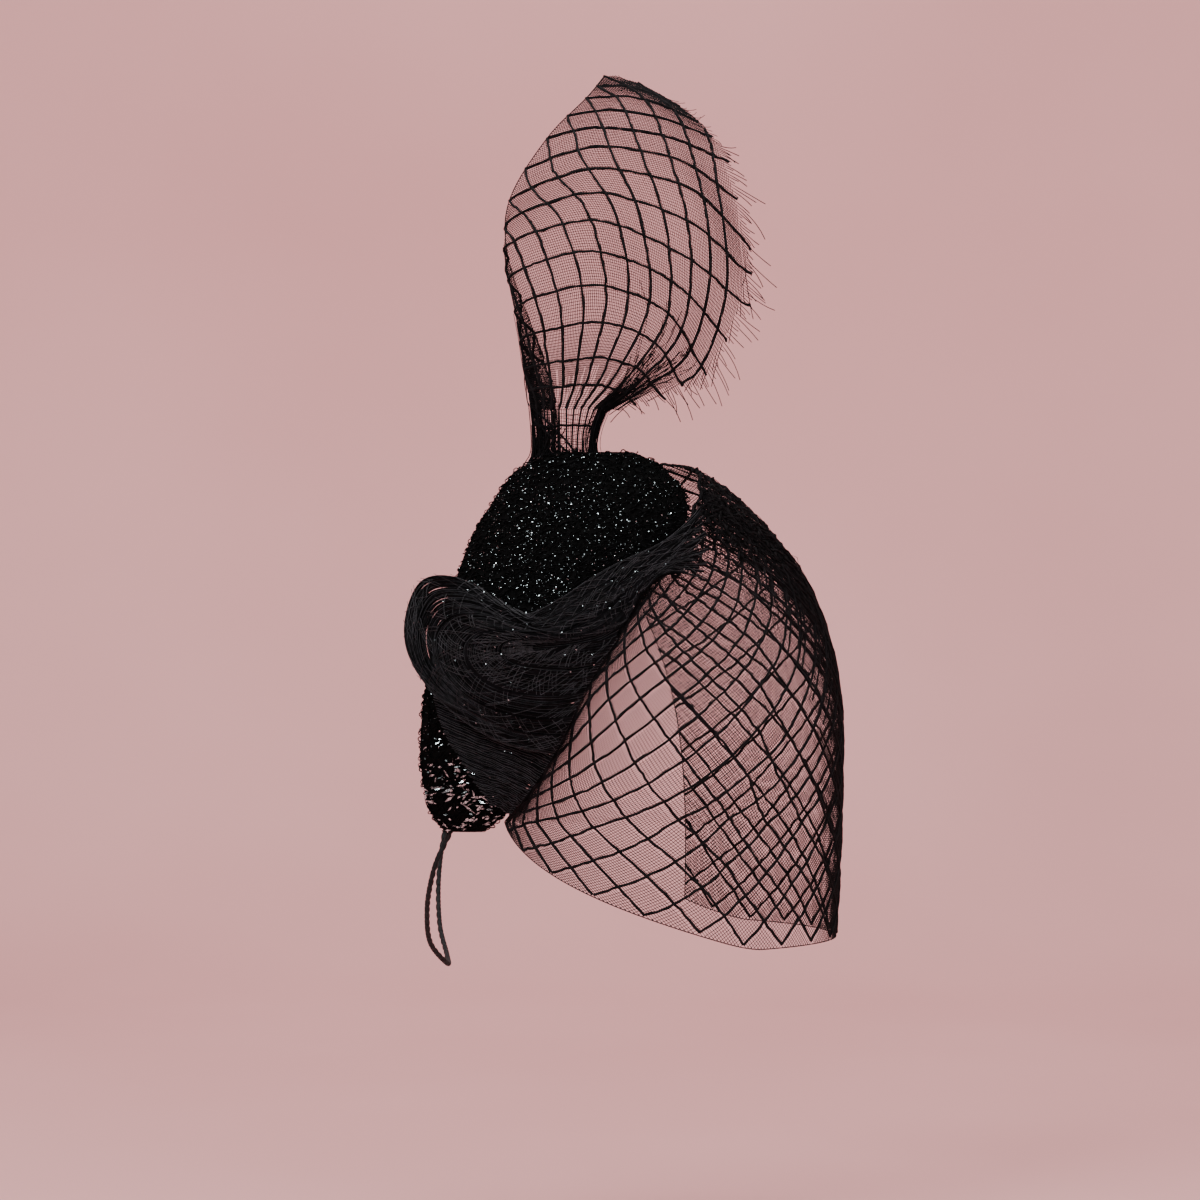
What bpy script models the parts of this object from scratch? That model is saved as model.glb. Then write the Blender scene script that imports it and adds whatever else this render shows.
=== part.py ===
"""A fascinator for a tilted, side-worn fit: a beaded teardrop base, a face veil of windowpane net,
a gathered side drape, a lower fan, a standing net plume on a gathered foot, and an elastic.

Metres, +Z up. The wearer faces +X and the base sits on the wearer's right, at -Y. Shapes are worked
out from the middle of the head that the piece is made for, and the world origin is the point of the
base's underside that rests on that head.
"""

import math

import bmesh
import bpy
import numpy as np

# The head that the fascinator is made for
HEAD_HALF_WIDTH = 0.077

# Beaded base
BASE_HEIGHT = 0.150
BASE_WIDTH = 0.0825
BASE_BOTTOM = -0.0343
BASE_WALL = 0.0022
BASE_ROWS = 18
BASE_COLUMNS = 14
BASE_BLUNT = math.radians(13)
SEAT_RISE = 0.31

# Windowpane net
NET_PITCH = 0.0132
NET_STEP = 2
NET_CORD = 0.0018
NET_WALL = 0.0014
STRUT_PARTS = 2
SMALLEST_GAP = 0.36
NET_MERGE = 0.0001

# Face veil
VEIL_REACH = 0.107
VEIL_AXIS = 0.015
VEIL_SIDE = 0.081
VEIL_WIDEST = -0.002
VEIL_CROWN = 0.1175
VEIL_TOP = 0.110
VEIL_DROP = 0.078
VEIL_LIFT = 0.054
VEIL_FLAT = math.radians(50)
VEIL_NEAR = math.radians(-118)
VEIL_FAR = math.radians(70)
VEIL_LEAN = 0.028

# Side drape and lower fan
DRAPE_WALL = 0.0014
DRAPE_LIFT = 0.018
DRAPE_PLEAT = 0.0007
DRAPE_PLEATS = 6
DRAPE_SECTIONS = 42
FAN_WALL = 0.0012
FAN_LIFT = 0.005

# Plume and its gathered foot
PLUME_HEIGHT = 0.139
PLUME_WIDTH = 0.092
PLUME_CURL = 0.050
PLUME_CORD = 0.0016
FOOT_WIDTH = 0.029
FOOT_DEPTH = 0.011
FOOT_HEIGHT = 0.022
FOOT_SINK = 0.004
FOOT_SET_BACK = 0.0032
FOOT_ACROSS = -0.30
FOOT_FLUTES = 9
FOOT_FLUTE_DEPTH = 0.0008

# Elastic
ELASTIC_DIAMETER = 0.0022
ELASTIC_POINTS = 78

# Fits
GAP = 0.0003

# Beaded base: one row for each level. rise is a share of the height; centre and half are shares of
# the width; the three depths, at the back edge, the middle and the front edge, are shares of the
# head's half width. half is the width that the level would have if the ends weren't rounded.
BASE_TABLE = {
    "rise": (0.00, 0.12, 0.25, 0.38, 0.51, 0.64, 0.77, 0.87, 0.94, 1.00),
    "centre": (-0.51, -0.465, -0.40, -0.335, -0.235, -0.12, 0.01, 0.08, 0.075, 0.105),
    "half": (0.37, 0.35, 0.355, 0.36, 0.405, 0.46, 0.58, 0.67, 0.74, 0.82),
    "back": (0.79, 0.81, 0.845, 0.83, 0.755, 0.63, 0.50, 0.41, 0.37, 0.375),
    "middle": (0.82, 0.955, 1.025, 1.025, 0.985, 0.895, 0.78, 0.65, 0.53, 0.40),
    "front": (0.80, 0.985, 1.05, 1.03, 0.935, 0.805, 0.65, 0.54, 0.46, 0.39),
}

# Side drape: a ribbon of pleated net that leaves the veil, sweeps back over the base, turns in a
# loop and comes back to the base's front edge. across is measured in half widths of the base from
# its middle line, rise in heights of the base, and lift in DRAPE_LIFT off the base, each at evenly
# spaced sections of the ribbon's outer edge, its middle and its inner edge.
DRAPE_TABLE = {
    "outer_across": (
        1.01, 0.82, 0.59, 0.42, 0.24, -0.02, -0.44, -0.86, -1.18, -1.24, -1.11, -0.76, -0.26, 0.33, 1.05,
    ),
    "outer_rise": (
        0.82, 0.74, 0.69, 0.645, 0.59, 0.55, 0.59, 0.63, 0.62, 0.545, 0.45, 0.37, 0.30, 0.25, 0.225,
    ),
    "outer_lift": (
        0.50, 0.34, 0.26, 0.24, 0.26, 0.34, 0.44, 0.50, 0.50, 0.44, 0.44, 0.50, 0.50, 0.42, 0.32,
    ),
    "middle_across": (
        1.21, 0.98, 0.81, 0.69, 0.54, 0.31, 0.01, -0.26, -0.44, -0.50, -0.38, -0.10, 0.26, 0.70, 1.10,
    ),
    "middle_rise": (
        0.74, 0.70, 0.64, 0.59, 0.54, 0.505, 0.505, 0.505, 0.49, 0.455, 0.405, 0.36, 0.335, 0.325, 0.335,
    ),
    "middle_lift": (
        0.50, 0.34, 0.26, 0.28, 0.36, 0.50, 0.72, 0.89, 0.94, 0.94, 0.89, 0.78, 0.61, 0.38, 0.16,
    ),
    "inner_across": (
        1.50, 1.11, 0.98, 1.04, 1.02, 0.80, 0.56, 0.36, 0.25, 0.24, 0.30, 0.44, 0.64, 0.86, 1.07,
    ),
    "inner_rise": (
        0.65, 0.665, 0.62, 0.575, 0.54, 0.516, 0.497, 0.485, 0.476, 0.466, 0.464, 0.472, 0.482, 0.494, 0.508,
    ),
    "inner_lift": (
        0.42, 0.34, 0.18, 0.10, 0.10, 0.16, 0.28, 0.38, 0.47, 0.49, 0.44, 0.34, 0.24, 0.17, 0.10,
    ),
}

# Lower fan: evenly spaced sections from under the drape's rolled edge down to the base's tip
FAN_TABLE = {
    "back_across": (-0.84, -0.68, -0.46, -0.06, 0.50),
    "back_rise": (0.365, 0.295, 0.235, 0.16, 0.09),
    "front_across": (1.12, 1.12, 1.12, 1.10, 1.06),
    "front_rise": (0.245, 0.195, 0.15, 0.11, 0.07),
    "lift": (0.30, 0.28, 0.27, 0.26, 0.26),
}

# Plume: a row for each fourth part of the net's cross cords, from the foot to the tip. Six points
# run across each row: the selvedge, the rolled back fold, the front, the middle cord, the shoulder
# and the cut edge. across is a share of the width, rise of the height and back of the curl.
PLUME_ROWS = (0.0, 2.0, 4.0, 6.0, 8.0, 10.0, 12.0, 14.0)
PLUME_ACROSS = (
    (-0.05, -0.15, -0.04, 0.07, 0.14, 0.17),
    (-0.06, -0.18, -0.03, 0.16, 0.31, 0.38),
    (-0.14, -0.22, -0.07, 0.16, 0.43, 0.59),
    (-0.25, -0.26, -0.10, 0.16, 0.51, 0.75),
    (-0.25, -0.19, -0.06, 0.16, 0.53, 0.77),
    (-0.09, -0.02, 0.07, 0.18, 0.44, 0.68),
    (0.08, 0.12, 0.18, 0.26, 0.40, 0.57),
    (0.16, 0.19, 0.22, 0.25, 0.31, 0.41),
)
PLUME_RISE = (
    (0.00, 0.00, 0.00, 0.00, 0.00, 0.00),
    (0.06, 0.11, 0.13, 0.14, 0.11, 0.06),
    (0.22, 0.28, 0.32, 0.34, 0.27, 0.12),
    (0.43, 0.46, 0.50, 0.52, 0.43, 0.32),
    (0.60, 0.62, 0.65, 0.68, 0.63, 0.50),
    (0.79, 0.80, 0.81, 0.81, 0.79, 0.74),
    (0.92, 0.92, 0.92, 0.92, 0.90, 0.86),
    (1.00, 1.00, 1.00, 0.99, 0.98, 0.95),
)
PLUME_BACK = (
    (0.17, 0.03, -0.06, -0.04, 0.02, 0.08),
    (0.26, 0.02, -0.16, -0.18, -0.04, 0.16),
    (0.20, -0.04, -0.26, -0.28, -0.04, 0.32),
    (0.08, 0.00, -0.20, -0.26, -0.02, 0.40),
    (0.24, 0.14, 0.00, -0.06, 0.14, 0.52),
    (0.48, 0.40, 0.32, 0.26, 0.38, 0.68),
    (0.74, 0.70, 0.66, 0.62, 0.68, 0.84),
    (1.02, 1.00, 0.98, 0.98, 1.00, 1.06),
)
PLUME_CELLS = (15.0, 13.6, 12.2, 10.8, 9.2, 6.4, 3.9, 1.7)

# Elastic: points of the route, from the head's middle, between its two ends on the base
ELASTIC_ROUTE = (
    (-0.0488, -0.0555, -0.0360),
    (-0.0525, -0.0548, -0.0440),
    (-0.0552, -0.0490, -0.0530),
    (-0.0572, -0.0370, -0.0645),
    (-0.0568, -0.0200, -0.0790),
    (-0.0510, -0.0020, -0.0890),
    (-0.0520, 0.0180, -0.0880),
    (-0.0560, 0.0380, -0.0770),
    (-0.0570, 0.0560, -0.0560),
    (-0.0530, 0.0660, -0.0300),
    (-0.0460, 0.0700, -0.0020),
    (-0.0380, 0.0670, 0.0270),
    (-0.0290, 0.0560, 0.0540),
    (-0.0190, 0.0360, 0.0750),
    (-0.0100, 0.0110, 0.0860),
    (-0.0050, -0.0100, 0.0885),
)
ELASTIC_NEAR = (-0.25, 0.06)
ELASTIC_FAR = (-0.10, 0.84)

LOOKS = {
    "beaded_straw": ((0.012, 0.012, 0.013), 0.32, 0.35),
    "net_cord": ((0.018, 0.017, 0.019), 0.75, 0.0),
    "pleated_net": ((0.016, 0.016, 0.018), 0.62, 0.0),
    "elastic": ((0.014, 0.014, 0.015), 0.70, 0.0),
}


def hermite(knots, values, at):
    """A smooth curve through values at knots, read at each place in at."""
    knots, values = np.asarray(knots, float), np.asarray(values, float)
    at = np.clip(np.asarray(at, float), knots[0], knots[-1])
    slopes = np.diff(values) / np.diff(knots)
    tangents = np.concatenate([slopes[:1], (slopes[1:] + slopes[:-1]) / 2, slopes[-1:]])
    i = np.clip(np.searchsorted(knots, at, side="right") - 1, 0, len(knots) - 2)
    span = knots[i + 1] - knots[i]
    t = (at - knots[i]) / span
    return (
        (2 * t**3 - 3 * t**2 + 1) * values[i]
        + (t**3 - 2 * t**2 + t) * span * tangents[i]
        + (3 * t**2 - 2 * t**3) * values[i + 1]
        + (t**3 - t**2) * span * tangents[i + 1]
    )


def base_level(rise):
    """Middle x and half width of the base at a share of its height."""
    centre = hermite(BASE_TABLE["rise"], BASE_TABLE["centre"], rise) * BASE_WIDTH
    full = hermite(BASE_TABLE["rise"], BASE_TABLE["half"], rise) * BASE_WIDTH
    rounded = np.sqrt(np.clip(1 - (2 * np.asarray(rise, float) - 1) ** 2, 0, 1))
    return centre, full * rounded


def base_face(across, rise):
    """A point of the base's outer face. Past the base's edges it runs on at the edge's depth."""
    across, rise = np.broadcast_arrays(np.asarray(across, float), np.asarray(rise, float))
    centre, half = base_level(rise)
    back, middle, front = (
        hermite(BASE_TABLE["rise"], BASE_TABLE[name], rise) for name in ("back", "middle", "front")
    )
    u = np.clip(across, -1, 1)
    depth = middle + (front - back) / 2 * u + ((front + back) / 2 - middle) * u**2
    return np.stack(
        [centre + half * across, -depth * HEAD_HALF_WIDTH, BASE_BOTTOM + BASE_HEIGHT * rise],
        axis=-1,
    )


def base_point(across, rise, lift=0.0):
    """A point lift metres out from the base's outer face, square to it."""
    across, rise = np.broadcast_arrays(np.asarray(across, float), np.asarray(rise, float))
    step = 0.02
    u, v = np.clip(across, step - 1, 1 - step), np.clip(rise, 2 * step, 1 - 2 * step)
    along = base_face(u + step, v) - base_face(u - step, v)
    up = base_face(u, v + step) - base_face(u, v - step)
    normal = np.cross(along, up)
    normal /= np.linalg.norm(normal, axis=-1, keepdims=True)
    return base_face(across, rise) + normal * np.asarray(lift, float)[..., None]


def seat_point():
    """Where the base's inner face rests on the head."""
    return base_point(0.0, SEAT_RISE, -BASE_WALL)


def veil_share(z):
    """0 at the veil's widest level, 1 at its crown."""
    return np.clip((z - VEIL_WIDEST) / (VEIL_CROWN - VEIL_WIDEST), 0, 1)


def veil_reach(z):
    """Half length of the veil's level, from its axis to the front."""
    low = np.clip((VEIL_WIDEST - z) / (4 * VEIL_DROP), 0, 1)
    shape = (1 - veil_share(z) ** 2.2) ** 0.61 * np.sqrt(1 - low**2)
    return (VEIL_REACH - VEIL_AXIS) * shape


def veil_seam(z):
    """The point on the base's front edge where the veil is sewn, at each height."""
    rise = np.clip((z - BASE_BOTTOM) / BASE_HEIGHT, 0.04, 0.985)
    half = base_level(rise)[1]
    return base_point(1 + (2 * GAP + NET_CORD) / half, rise, -BASE_WALL / 2)


def veil_point(azimuth, z):
    """A point of the veil. azimuth is 0 at the front, negative on the base's side."""
    azimuth, z = np.broadcast_arrays(np.asarray(azimuth, float), np.asarray(z, float))
    reach = veil_reach(z)
    middle = -VEIL_LEAN * veil_share(z) ** 1.5
    seam = veil_seam(z)
    turn = np.sqrt(np.clip(1 - ((seam[..., 0] - VEIL_AXIS) / reach) ** 2, 0.2, 1))
    near = np.maximum(middle - seam[..., 1], 0.003) / turn
    far = VEIL_SIDE * (1 - veil_share(z) ** 2) ** 0.45
    side = np.where(azimuth < 0, near, far)
    return np.stack(
        [VEIL_AXIS + reach * np.cos(azimuth), middle + side * np.sin(azimuth), z], axis=-1
    )


def veil_hem(azimuth):
    """Height of the veil's lower selvedge."""
    past = np.maximum(np.abs(azimuth) - VEIL_FLAT, 0) / math.radians(68)
    return -VEIL_DROP + VEIL_LIFT * past**1.6


class Sheet:
    """A surface known at a grid of points, read by lengths along the cloth: along is measured on
    the first row of the grid and up on each column from that row."""

    def __init__(self, points):
        self.points = points
        self.along = run_length(points[:, 0])
        self.up = np.array([run_length(column) for column in points])

    def at(self, along, up):
        place = np.interp(along, self.along, np.arange(len(self.along)))
        i = min(int(place), len(self.along) - 2)
        ends = [
            np.array([np.interp(up, self.up[j], self.points[j][:, k]) for k in range(3)])
            for j in (i, i + 1)
        ]
        return ends[0] + (ends[1] - ends[0]) * (place - i)

    def height(self, along):
        return float(np.interp(along, self.along, self.up[:, -1]))


def run_length(points):
    steps = np.linalg.norm(np.diff(points, axis=0), axis=1)
    return np.concatenate([[0.0], np.cumsum(steps)])


def veil_sheet():
    azimuths = np.linspace(VEIL_NEAR, VEIL_FAR, 93)
    shares = np.linspace(0, 1, 81)
    hems = veil_hem(azimuths)
    levels = hems[:, None] + (VEIL_TOP - hems)[:, None] * shares
    return Sheet(veil_point(azimuths[:, None], levels))


def veil_inside(sheet, along, up):
    """Above 0 inside the veil's cut outline, in metres or near it."""
    point = sheet.at(along, up)
    azimuth = np.interp(along, sheet.along, np.linspace(VEIL_NEAR, VEIL_FAR, len(sheet.along)))
    seam = veil_seam(point[2])
    cosine = np.clip((seam[0] - VEIL_AXIS) / veil_reach(point[2]), -1, 1)
    past_seam = (azimuth + math.acos(cosine)) * VEIL_SIDE
    return min(past_seam, up, sheet.height(along) - up, along, sheet.along[-1] - along)


def clipped(polygon, inside):
    """The part of a flat polygon where inside is above 0, and whether each corner is on the cut."""
    kept, cut = [], []
    values = [inside(*corner) for corner in polygon]
    for i, corner in enumerate(polygon):
        after = (i + 1) % len(polygon)
        if values[i] >= 0:
            kept.append(tuple(corner))
            cut.append(False)
        if (values[i] >= 0) != (values[after] >= 0):
            ends = (corner, polygon[after]) if values[i] >= 0 else (polygon[after], corner)
            kept.append(crossing(ends, inside))
            cut.append(True)
    apart = [math.dist(corner, kept[i - 1]) > 1e-6 or len(kept) < 2 for i, corner in enumerate(kept)]
    return (
        [corner for corner, keep in zip(kept, apart) if keep],
        [on_cut for on_cut, keep in zip(cut, apart) if keep],
    )


def crossing(ends, inside):
    """The border point between one end that is inside and one that isn't."""
    low, high = 0.0, 1.0
    start, step = np.array(ends[0]), np.array(ends[1]) - np.array(ends[0])
    for _ in range(24):
        middle = (low + high) / 2
        if inside(*(start + step * middle)) >= 0:
            low = middle
        else:
            high = middle
    return tuple(start + step * low)


def square(column, row, side):
    """A square cell's corners and the points that divide its sides, in the net's own axes."""
    corners = [(column, row), (column + 1, row), (column + 1, row + 1), (column, row + 1)]
    ring = []
    for i, corner in enumerate(corners):
        start, end = np.array(corner, float), np.array(corners[(i + 1) % 4], float)
        ring += [tuple((start + (end - start) * k / STRUT_PARTS) * side) for k in range(STRUT_PARTS)]
    return ring


def area_of(points):
    points = np.array(points)
    return float(np.linalg.norm(np.cross(points, np.roll(points, -1, axis=0)).sum(axis=0))) / 2


def gap_outline(polygon, cut, cord):
    """The gap between the cords that lie along a cell's sides: half a cord in from its neighbours
    and a whole one in from the cut."""
    corners = np.array(polygon)
    sides = np.roll(corners, -1, axis=0) - corners
    inward = np.stack([-sides[:, 1], sides[:, 0]], axis=1) / np.linalg.norm(sides, axis=1)[:, None]
    depths = np.where(np.array(cut) & np.roll(cut, -1), cord, cord / 2)
    outline = []
    for i, corner in enumerate(corners):
        pair = np.array([inward[i - 1], inward[i]])
        if abs(np.linalg.det(pair)) > 0.2:
            shift = np.linalg.solve(pair, [depths[i - 1], depths[i]])
        else:
            shift = inward[i] * (depths[i - 1] + depths[i]) / 2
        outline.append(corner + shift)
    for i in list(range(len(corners))) * 2:
        j = (i + 1) % len(corners)
        if np.dot(outline[j] - outline[i], sides[i]) < 0.04 * np.dot(sides[i], sides[i]):
            outline[i] = outline[j] = (outline[i] + outline[j]) / 2
    return outline


def net_object(name, cells, at, cord):
    """Bands along the sides of the cells, as one closed solid. Where the net is gathered its small
    cells have no gap."""
    smallest = SMALLEST_GAP * (NET_PITCH * NET_STEP) ** 2
    mesh = bmesh.new()
    for corners, cut in cells:
        points = [at(*corner) for corner in corners]
        ring = [mesh.verts.new(point) for point in points]
        if area_of(points) < smallest:
            gap = [mesh.verts.new(at(*np.mean(corners, axis=0)))] * len(ring)
        else:
            gap = [mesh.verts.new(at(*corner)) for corner in gap_outline(corners, cut, cord)]
        for i in range(len(ring)):
            j = (i + 1) % len(ring)
            inner = (gap[j], gap[i]) if gap[i] != gap[j] else (gap[i],)
            mesh.faces.new((ring[i], ring[j], *inner))
    bmesh.ops.remove_doubles(mesh, verts=mesh.verts, dist=NET_MERGE)
    bmesh.ops.recalc_face_normals(mesh, faces=mesh.faces)
    net = mesh_object(name, mesh)
    thicken(net, NET_WALL, 0)
    return net


def make_veil():
    sheet = veil_sheet()
    side = NET_PITCH * NET_STEP
    count = int((sheet.along[-1] + sheet.up.max()) / side) + 2
    root = math.sqrt(0.5)
    cells = []
    for column in range(0, count):
        for row in range(-count, count):
            ring = [((a - b) * root, (a + b) * root) for a, b in square(column, row, side)]
            if not 0 <= np.mean(ring, axis=0)[0] <= sheet.along[-1] + side:
                continue
            kept, cut = clipped(ring, lambda along, up: veil_inside(sheet, along, up))
            if len(kept) > 2:
                cells.append((kept, cut))
    return net_object("face_veil", cells, sheet.at, NET_CORD)


def plume_grid(name):
    """The plume's points on a fine grid of rows and shares of each row."""
    tables = {"across": PLUME_ACROSS, "rise": PLUME_RISE, "back": PLUME_BACK}
    columns = np.array(tables[name]).T
    rows = np.linspace(0, PLUME_ROWS[-1], 57)
    fine = np.array([hermite(PLUME_ROWS, column, rows) for column in columns]).T
    knots, shares = np.linspace(0, 1, len(columns)), np.linspace(0, 1, 61)
    return np.array([hermite(knots, row, shares) for row in fine])


def plume_origin():
    """The middle of the plume's foot, at its lower end, behind the base's top edge."""
    edge = base_point(FOOT_ACROSS, math.cos(BASE_BLUNT / 2) ** 2, -BASE_WALL)
    centre, half = base_level(0.93)
    return np.array([
        centre + half * FOOT_ACROSS,
        edge[1] + FOOT_SET_BACK + FOOT_DEPTH / 2 + FOOT_FLUTE_DEPTH,
        edge[2] - FOOT_SINK,
    ])


def plume_points():
    """Rows of points across the plume, and the net row that each stands for."""
    start = plume_origin()
    points = np.stack(
        [
            start[0] + plume_grid("across") * PLUME_WIDTH,
            start[1] + plume_grid("back") * PLUME_CURL,
            start[2] + FOOT_HEIGHT + GAP + NET_WALL / 2 + plume_grid("rise") * PLUME_HEIGHT,
        ],
        axis=-1,
    )
    return points, np.linspace(0, PLUME_ROWS[-1], len(points))


def make_plume():
    """The plume's net. Its cords run at 45 degrees to the selvedge, so the cord that starts at the
    selvedge on one row has moved one cell across on the next."""
    points, rows = plume_points()
    lengths = [run_length(row) for row in points]

    def width(row):
        return float(hermite(PLUME_ROWS, PLUME_CELLS, row))

    def place(column, row):
        row = min(max(row, rows[0]), rows[-1])
        i = min(int(np.interp(row, rows, np.arange(len(rows)))), len(rows) - 2)
        share = np.clip((column - row) / width(row), 0, 1)
        ends = [
            np.array([np.interp(share * lengths[j][-1], lengths[j], points[j][:, k]) for k in range(3)])
            for j in (i, i + 1)
        ]
        return ends[0] + (ends[1] - ends[0]) * (row - rows[i]) / (rows[i + 1] - rows[i])

    def inside(column, row):
        return min(column - row, width(row) - (column - row), row, PLUME_ROWS[-1] - row)

    cells = []
    for row in range(0, int(PLUME_ROWS[-1]), NET_STEP):
        for column in range(0, 32, NET_STEP):
            kept, cut = clipped(square(column / NET_STEP, row / NET_STEP, NET_STEP), inside)
            if len(kept) > 2:
                cells.append((kept, cut))
    return net_object("plume", cells, place, PLUME_CORD / NET_PITCH)


def mesh_object(name, mesh):
    data = bpy.data.meshes.new(name)
    mesh.to_mesh(data)
    mesh.free()
    made = bpy.data.objects.new(name, data)
    PARTS.objects.link(made)
    return made


def grid_object(name, points):
    """An open sheet of faces over a grid of points, with rows or columns of equal points merged."""
    mesh = bmesh.new()
    verts = [[mesh.verts.new(point) for point in row] for row in points]
    for low, high in zip(verts, verts[1:]):
        for a, b, c, d in zip(low, low[1:], high[1:], high):
            mesh.faces.new((a, b, c, d))
    bmesh.ops.remove_doubles(mesh, verts=mesh.verts, dist=0.00005)
    return mesh_object(name, mesh)


def thicken(sheet, wall, offset):
    """Gives an open sheet its wall. offset 0 keeps the sheet in the middle of the wall."""
    shell = sheet.modifiers.new("wall", "SOLIDIFY")
    shell.thickness = wall
    shell.offset = offset
    shell.use_even_offset = False
    shell.use_rim = True


def make_base():
    rises = (1 - np.cos(np.linspace(BASE_BLUNT, math.pi - BASE_BLUNT, BASE_ROWS + 1))) / 2
    across = np.linspace(-1, 1, BASE_COLUMNS + 1)
    base = grid_object("base_shell", base_point(across[None, :], rises[:, None]))
    thicken(base, BASE_WALL, -1)
    return base


def spread(values, at):
    """A smooth curve through evenly spaced values, read at shares of its length."""
    return hermite(np.linspace(0, 1, len(values)), values, at)


def make_drape():
    along = np.linspace(0, 1, DRAPE_SECTIONS + 1)
    shares = np.linspace(0, 1, 2 * DRAPE_PLEATS + 1)
    across, rise, lift = (
        np.array([spread(DRAPE_TABLE[f"{edge}_{name}"], along) for edge in ("outer", "middle", "inner")])
        for name in ("across", "rise", "lift")
    )
    across, rise, lift = (
        np.array([spread(section, shares) for section in values.T]) for values in (across, rise, lift)
    )
    pleats = -DRAPE_PLEAT * np.cos(math.pi * np.arange(len(shares)))
    drape = grid_object("side_drape", base_point(across, rise, DRAPE_LIFT * lift + pleats[None, :]))
    thicken(drape, DRAPE_WALL, 0)
    return drape


def make_fan():
    along, shares = np.linspace(0, 1, 9), np.linspace(0, 1, 13)
    curves = {name: spread(values, along)[:, None] for name, values in FAN_TABLE.items()}
    across = curves["back_across"] * (1 - shares) + curves["front_across"] * shares
    rise = curves["back_rise"] * (1 - shares) + curves["front_rise"] * shares
    fan = grid_object("lower_fan", base_point(across, rise, FAN_LIFT * curves["lift"] + 0 * across))
    thicken(fan, FAN_WALL, 0)
    return fan


def make_foot():
    """A fluted bundle: an oval ring, lofted up in a few levels that widen at both ends."""
    start = plume_origin()
    mesh = bmesh.new()
    turns = np.linspace(0, 2 * math.pi, 4 * FOOT_FLUTES, endpoint=False)
    levels = ((0.0, 1.0), (0.25, 0.97), (0.55, 0.93), (0.8, 0.96), (1.0, 1.0))
    rings = []
    for rise, swell in levels:
        flute = FOOT_FLUTE_DEPTH * np.cos(FOOT_FLUTES * turns)
        x = start[0] + (FOOT_WIDTH / 2 * swell + flute) * np.cos(turns)
        y = start[1] + (FOOT_DEPTH / 2 * swell + flute) * np.sin(turns)
        rings.append([mesh.verts.new((a, b, start[2] + FOOT_HEIGHT * rise)) for a, b in zip(x, y)])
    for low, high in zip(rings, rings[1:]):
        for i in range(len(low)):
            j = (i + 1) % len(low)
            mesh.faces.new((low[i], low[j], high[j], high[i]))
    mesh.faces.new(rings[0][::-1])
    mesh.faces.new(rings[-1])
    return mesh_object("plume_foot", mesh)


def make_elastic():
    """A tube on a smooth curve from the base's tip, round the nape and over the far side of the
    head, back to the base's underside."""
    ends = [
        base_point(*place, -(BASE_WALL + 2 * GAP + ELASTIC_DIAMETER / 2))
        for place in (ELASTIC_NEAR, ELASTIC_FAR)
    ]
    route = np.array([ends[0], *ELASTIC_ROUTE, ends[1]])
    length = run_length(route)
    places = np.linspace(0, length[-1], ELASTIC_POINTS)
    curve = bpy.data.curves.new("elastic_cord", "CURVE")
    curve.dimensions = "3D"
    curve.bevel_depth = ELASTIC_DIAMETER / 2
    curve.bevel_resolution = 1
    curve.use_fill_caps = True
    spline = curve.splines.new("POLY")
    spline.points.add(ELASTIC_POINTS - 1)
    for point, place in zip(spline.points, zip(*(hermite(length, route[:, k], places) for k in range(3)))):
        point.co = (*place, 1)
    elastic = bpy.data.objects.new("elastic_cord", curve)
    PARTS.objects.link(elastic)
    return elastic


def material(name):
    colour, roughness, metallic = LOOKS[name]
    made = bpy.data.materials.new(name)
    made.use_nodes = True
    shader = made.node_tree.nodes["Principled BSDF"]
    shader.inputs["Base Color"].default_value = (*colour, 1)
    shader.inputs["Roughness"].default_value = roughness
    shader.inputs["Metallic"].default_value = metallic
    return made


def main():
    head = bpy.data.objects.new("head_middle", None)
    head.location = -seat_point()
    PARTS.objects.link(head)
    pieces = {
        make_base(): "beaded_straw",
        make_veil(): "net_cord",
        make_drape(): "pleated_net",
        make_fan(): "pleated_net",
        make_plume(): "net_cord",
        make_foot(): "pleated_net",
        make_elastic(): "elastic",
    }
    looks = {name: material(name) for name in LOOKS}
    for piece, look in pieces.items():
        piece.parent = head
        piece.data.materials.append(looks[look])
        if piece.type == "MESH":
            piece.data.shade_smooth()
            piece.data.set_sharp_from_angle(angle=math.radians(40))


for old in list(bpy.data.objects):
    bpy.data.objects.remove(old)
PARTS = bpy.data.collections.new("fascinator")
bpy.context.scene.collection.children.link(PARTS)
main()
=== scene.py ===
"""Looks of the fascinator: windowpane net in real strands over the fixed frame, pleated drape and
fan, crochet and glints on the base, frayed plume, plaited elastic, floor, light and camera.

Metres, +Z up. Shapes are worked out from the middle of the head, as the frame's own shapes are, and
moved by HEAD to the frame's origin, which is the point of the base that rests on the head.
"""

import math

import bpy
import numpy as np
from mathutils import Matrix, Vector


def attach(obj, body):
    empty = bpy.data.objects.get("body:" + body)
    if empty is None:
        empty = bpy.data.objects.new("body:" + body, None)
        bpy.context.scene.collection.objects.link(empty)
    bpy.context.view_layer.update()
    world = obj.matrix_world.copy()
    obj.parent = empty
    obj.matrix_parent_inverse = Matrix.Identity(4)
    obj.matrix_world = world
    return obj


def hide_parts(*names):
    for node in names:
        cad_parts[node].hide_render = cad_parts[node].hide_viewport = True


# Shapes that the frame has: the head, the base, the veil, the drape, the fan, the plume
HEAD_HALF_WIDTH = 0.077
BASE_HEIGHT = 0.150
BASE_WIDTH = 0.0825
BASE_BOTTOM = -0.0343
BASE_WALL = 0.0022
BASE_BLUNT = math.radians(13)
SEAT_RISE = 0.31
VEIL_REACH = 0.107
VEIL_AXIS = 0.015
VEIL_SIDE = 0.081
VEIL_WIDEST = -0.002
VEIL_CROWN = 0.1175
VEIL_DROP = 0.078
VEIL_LIFT = 0.054
VEIL_FLAT = math.radians(50)
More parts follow.
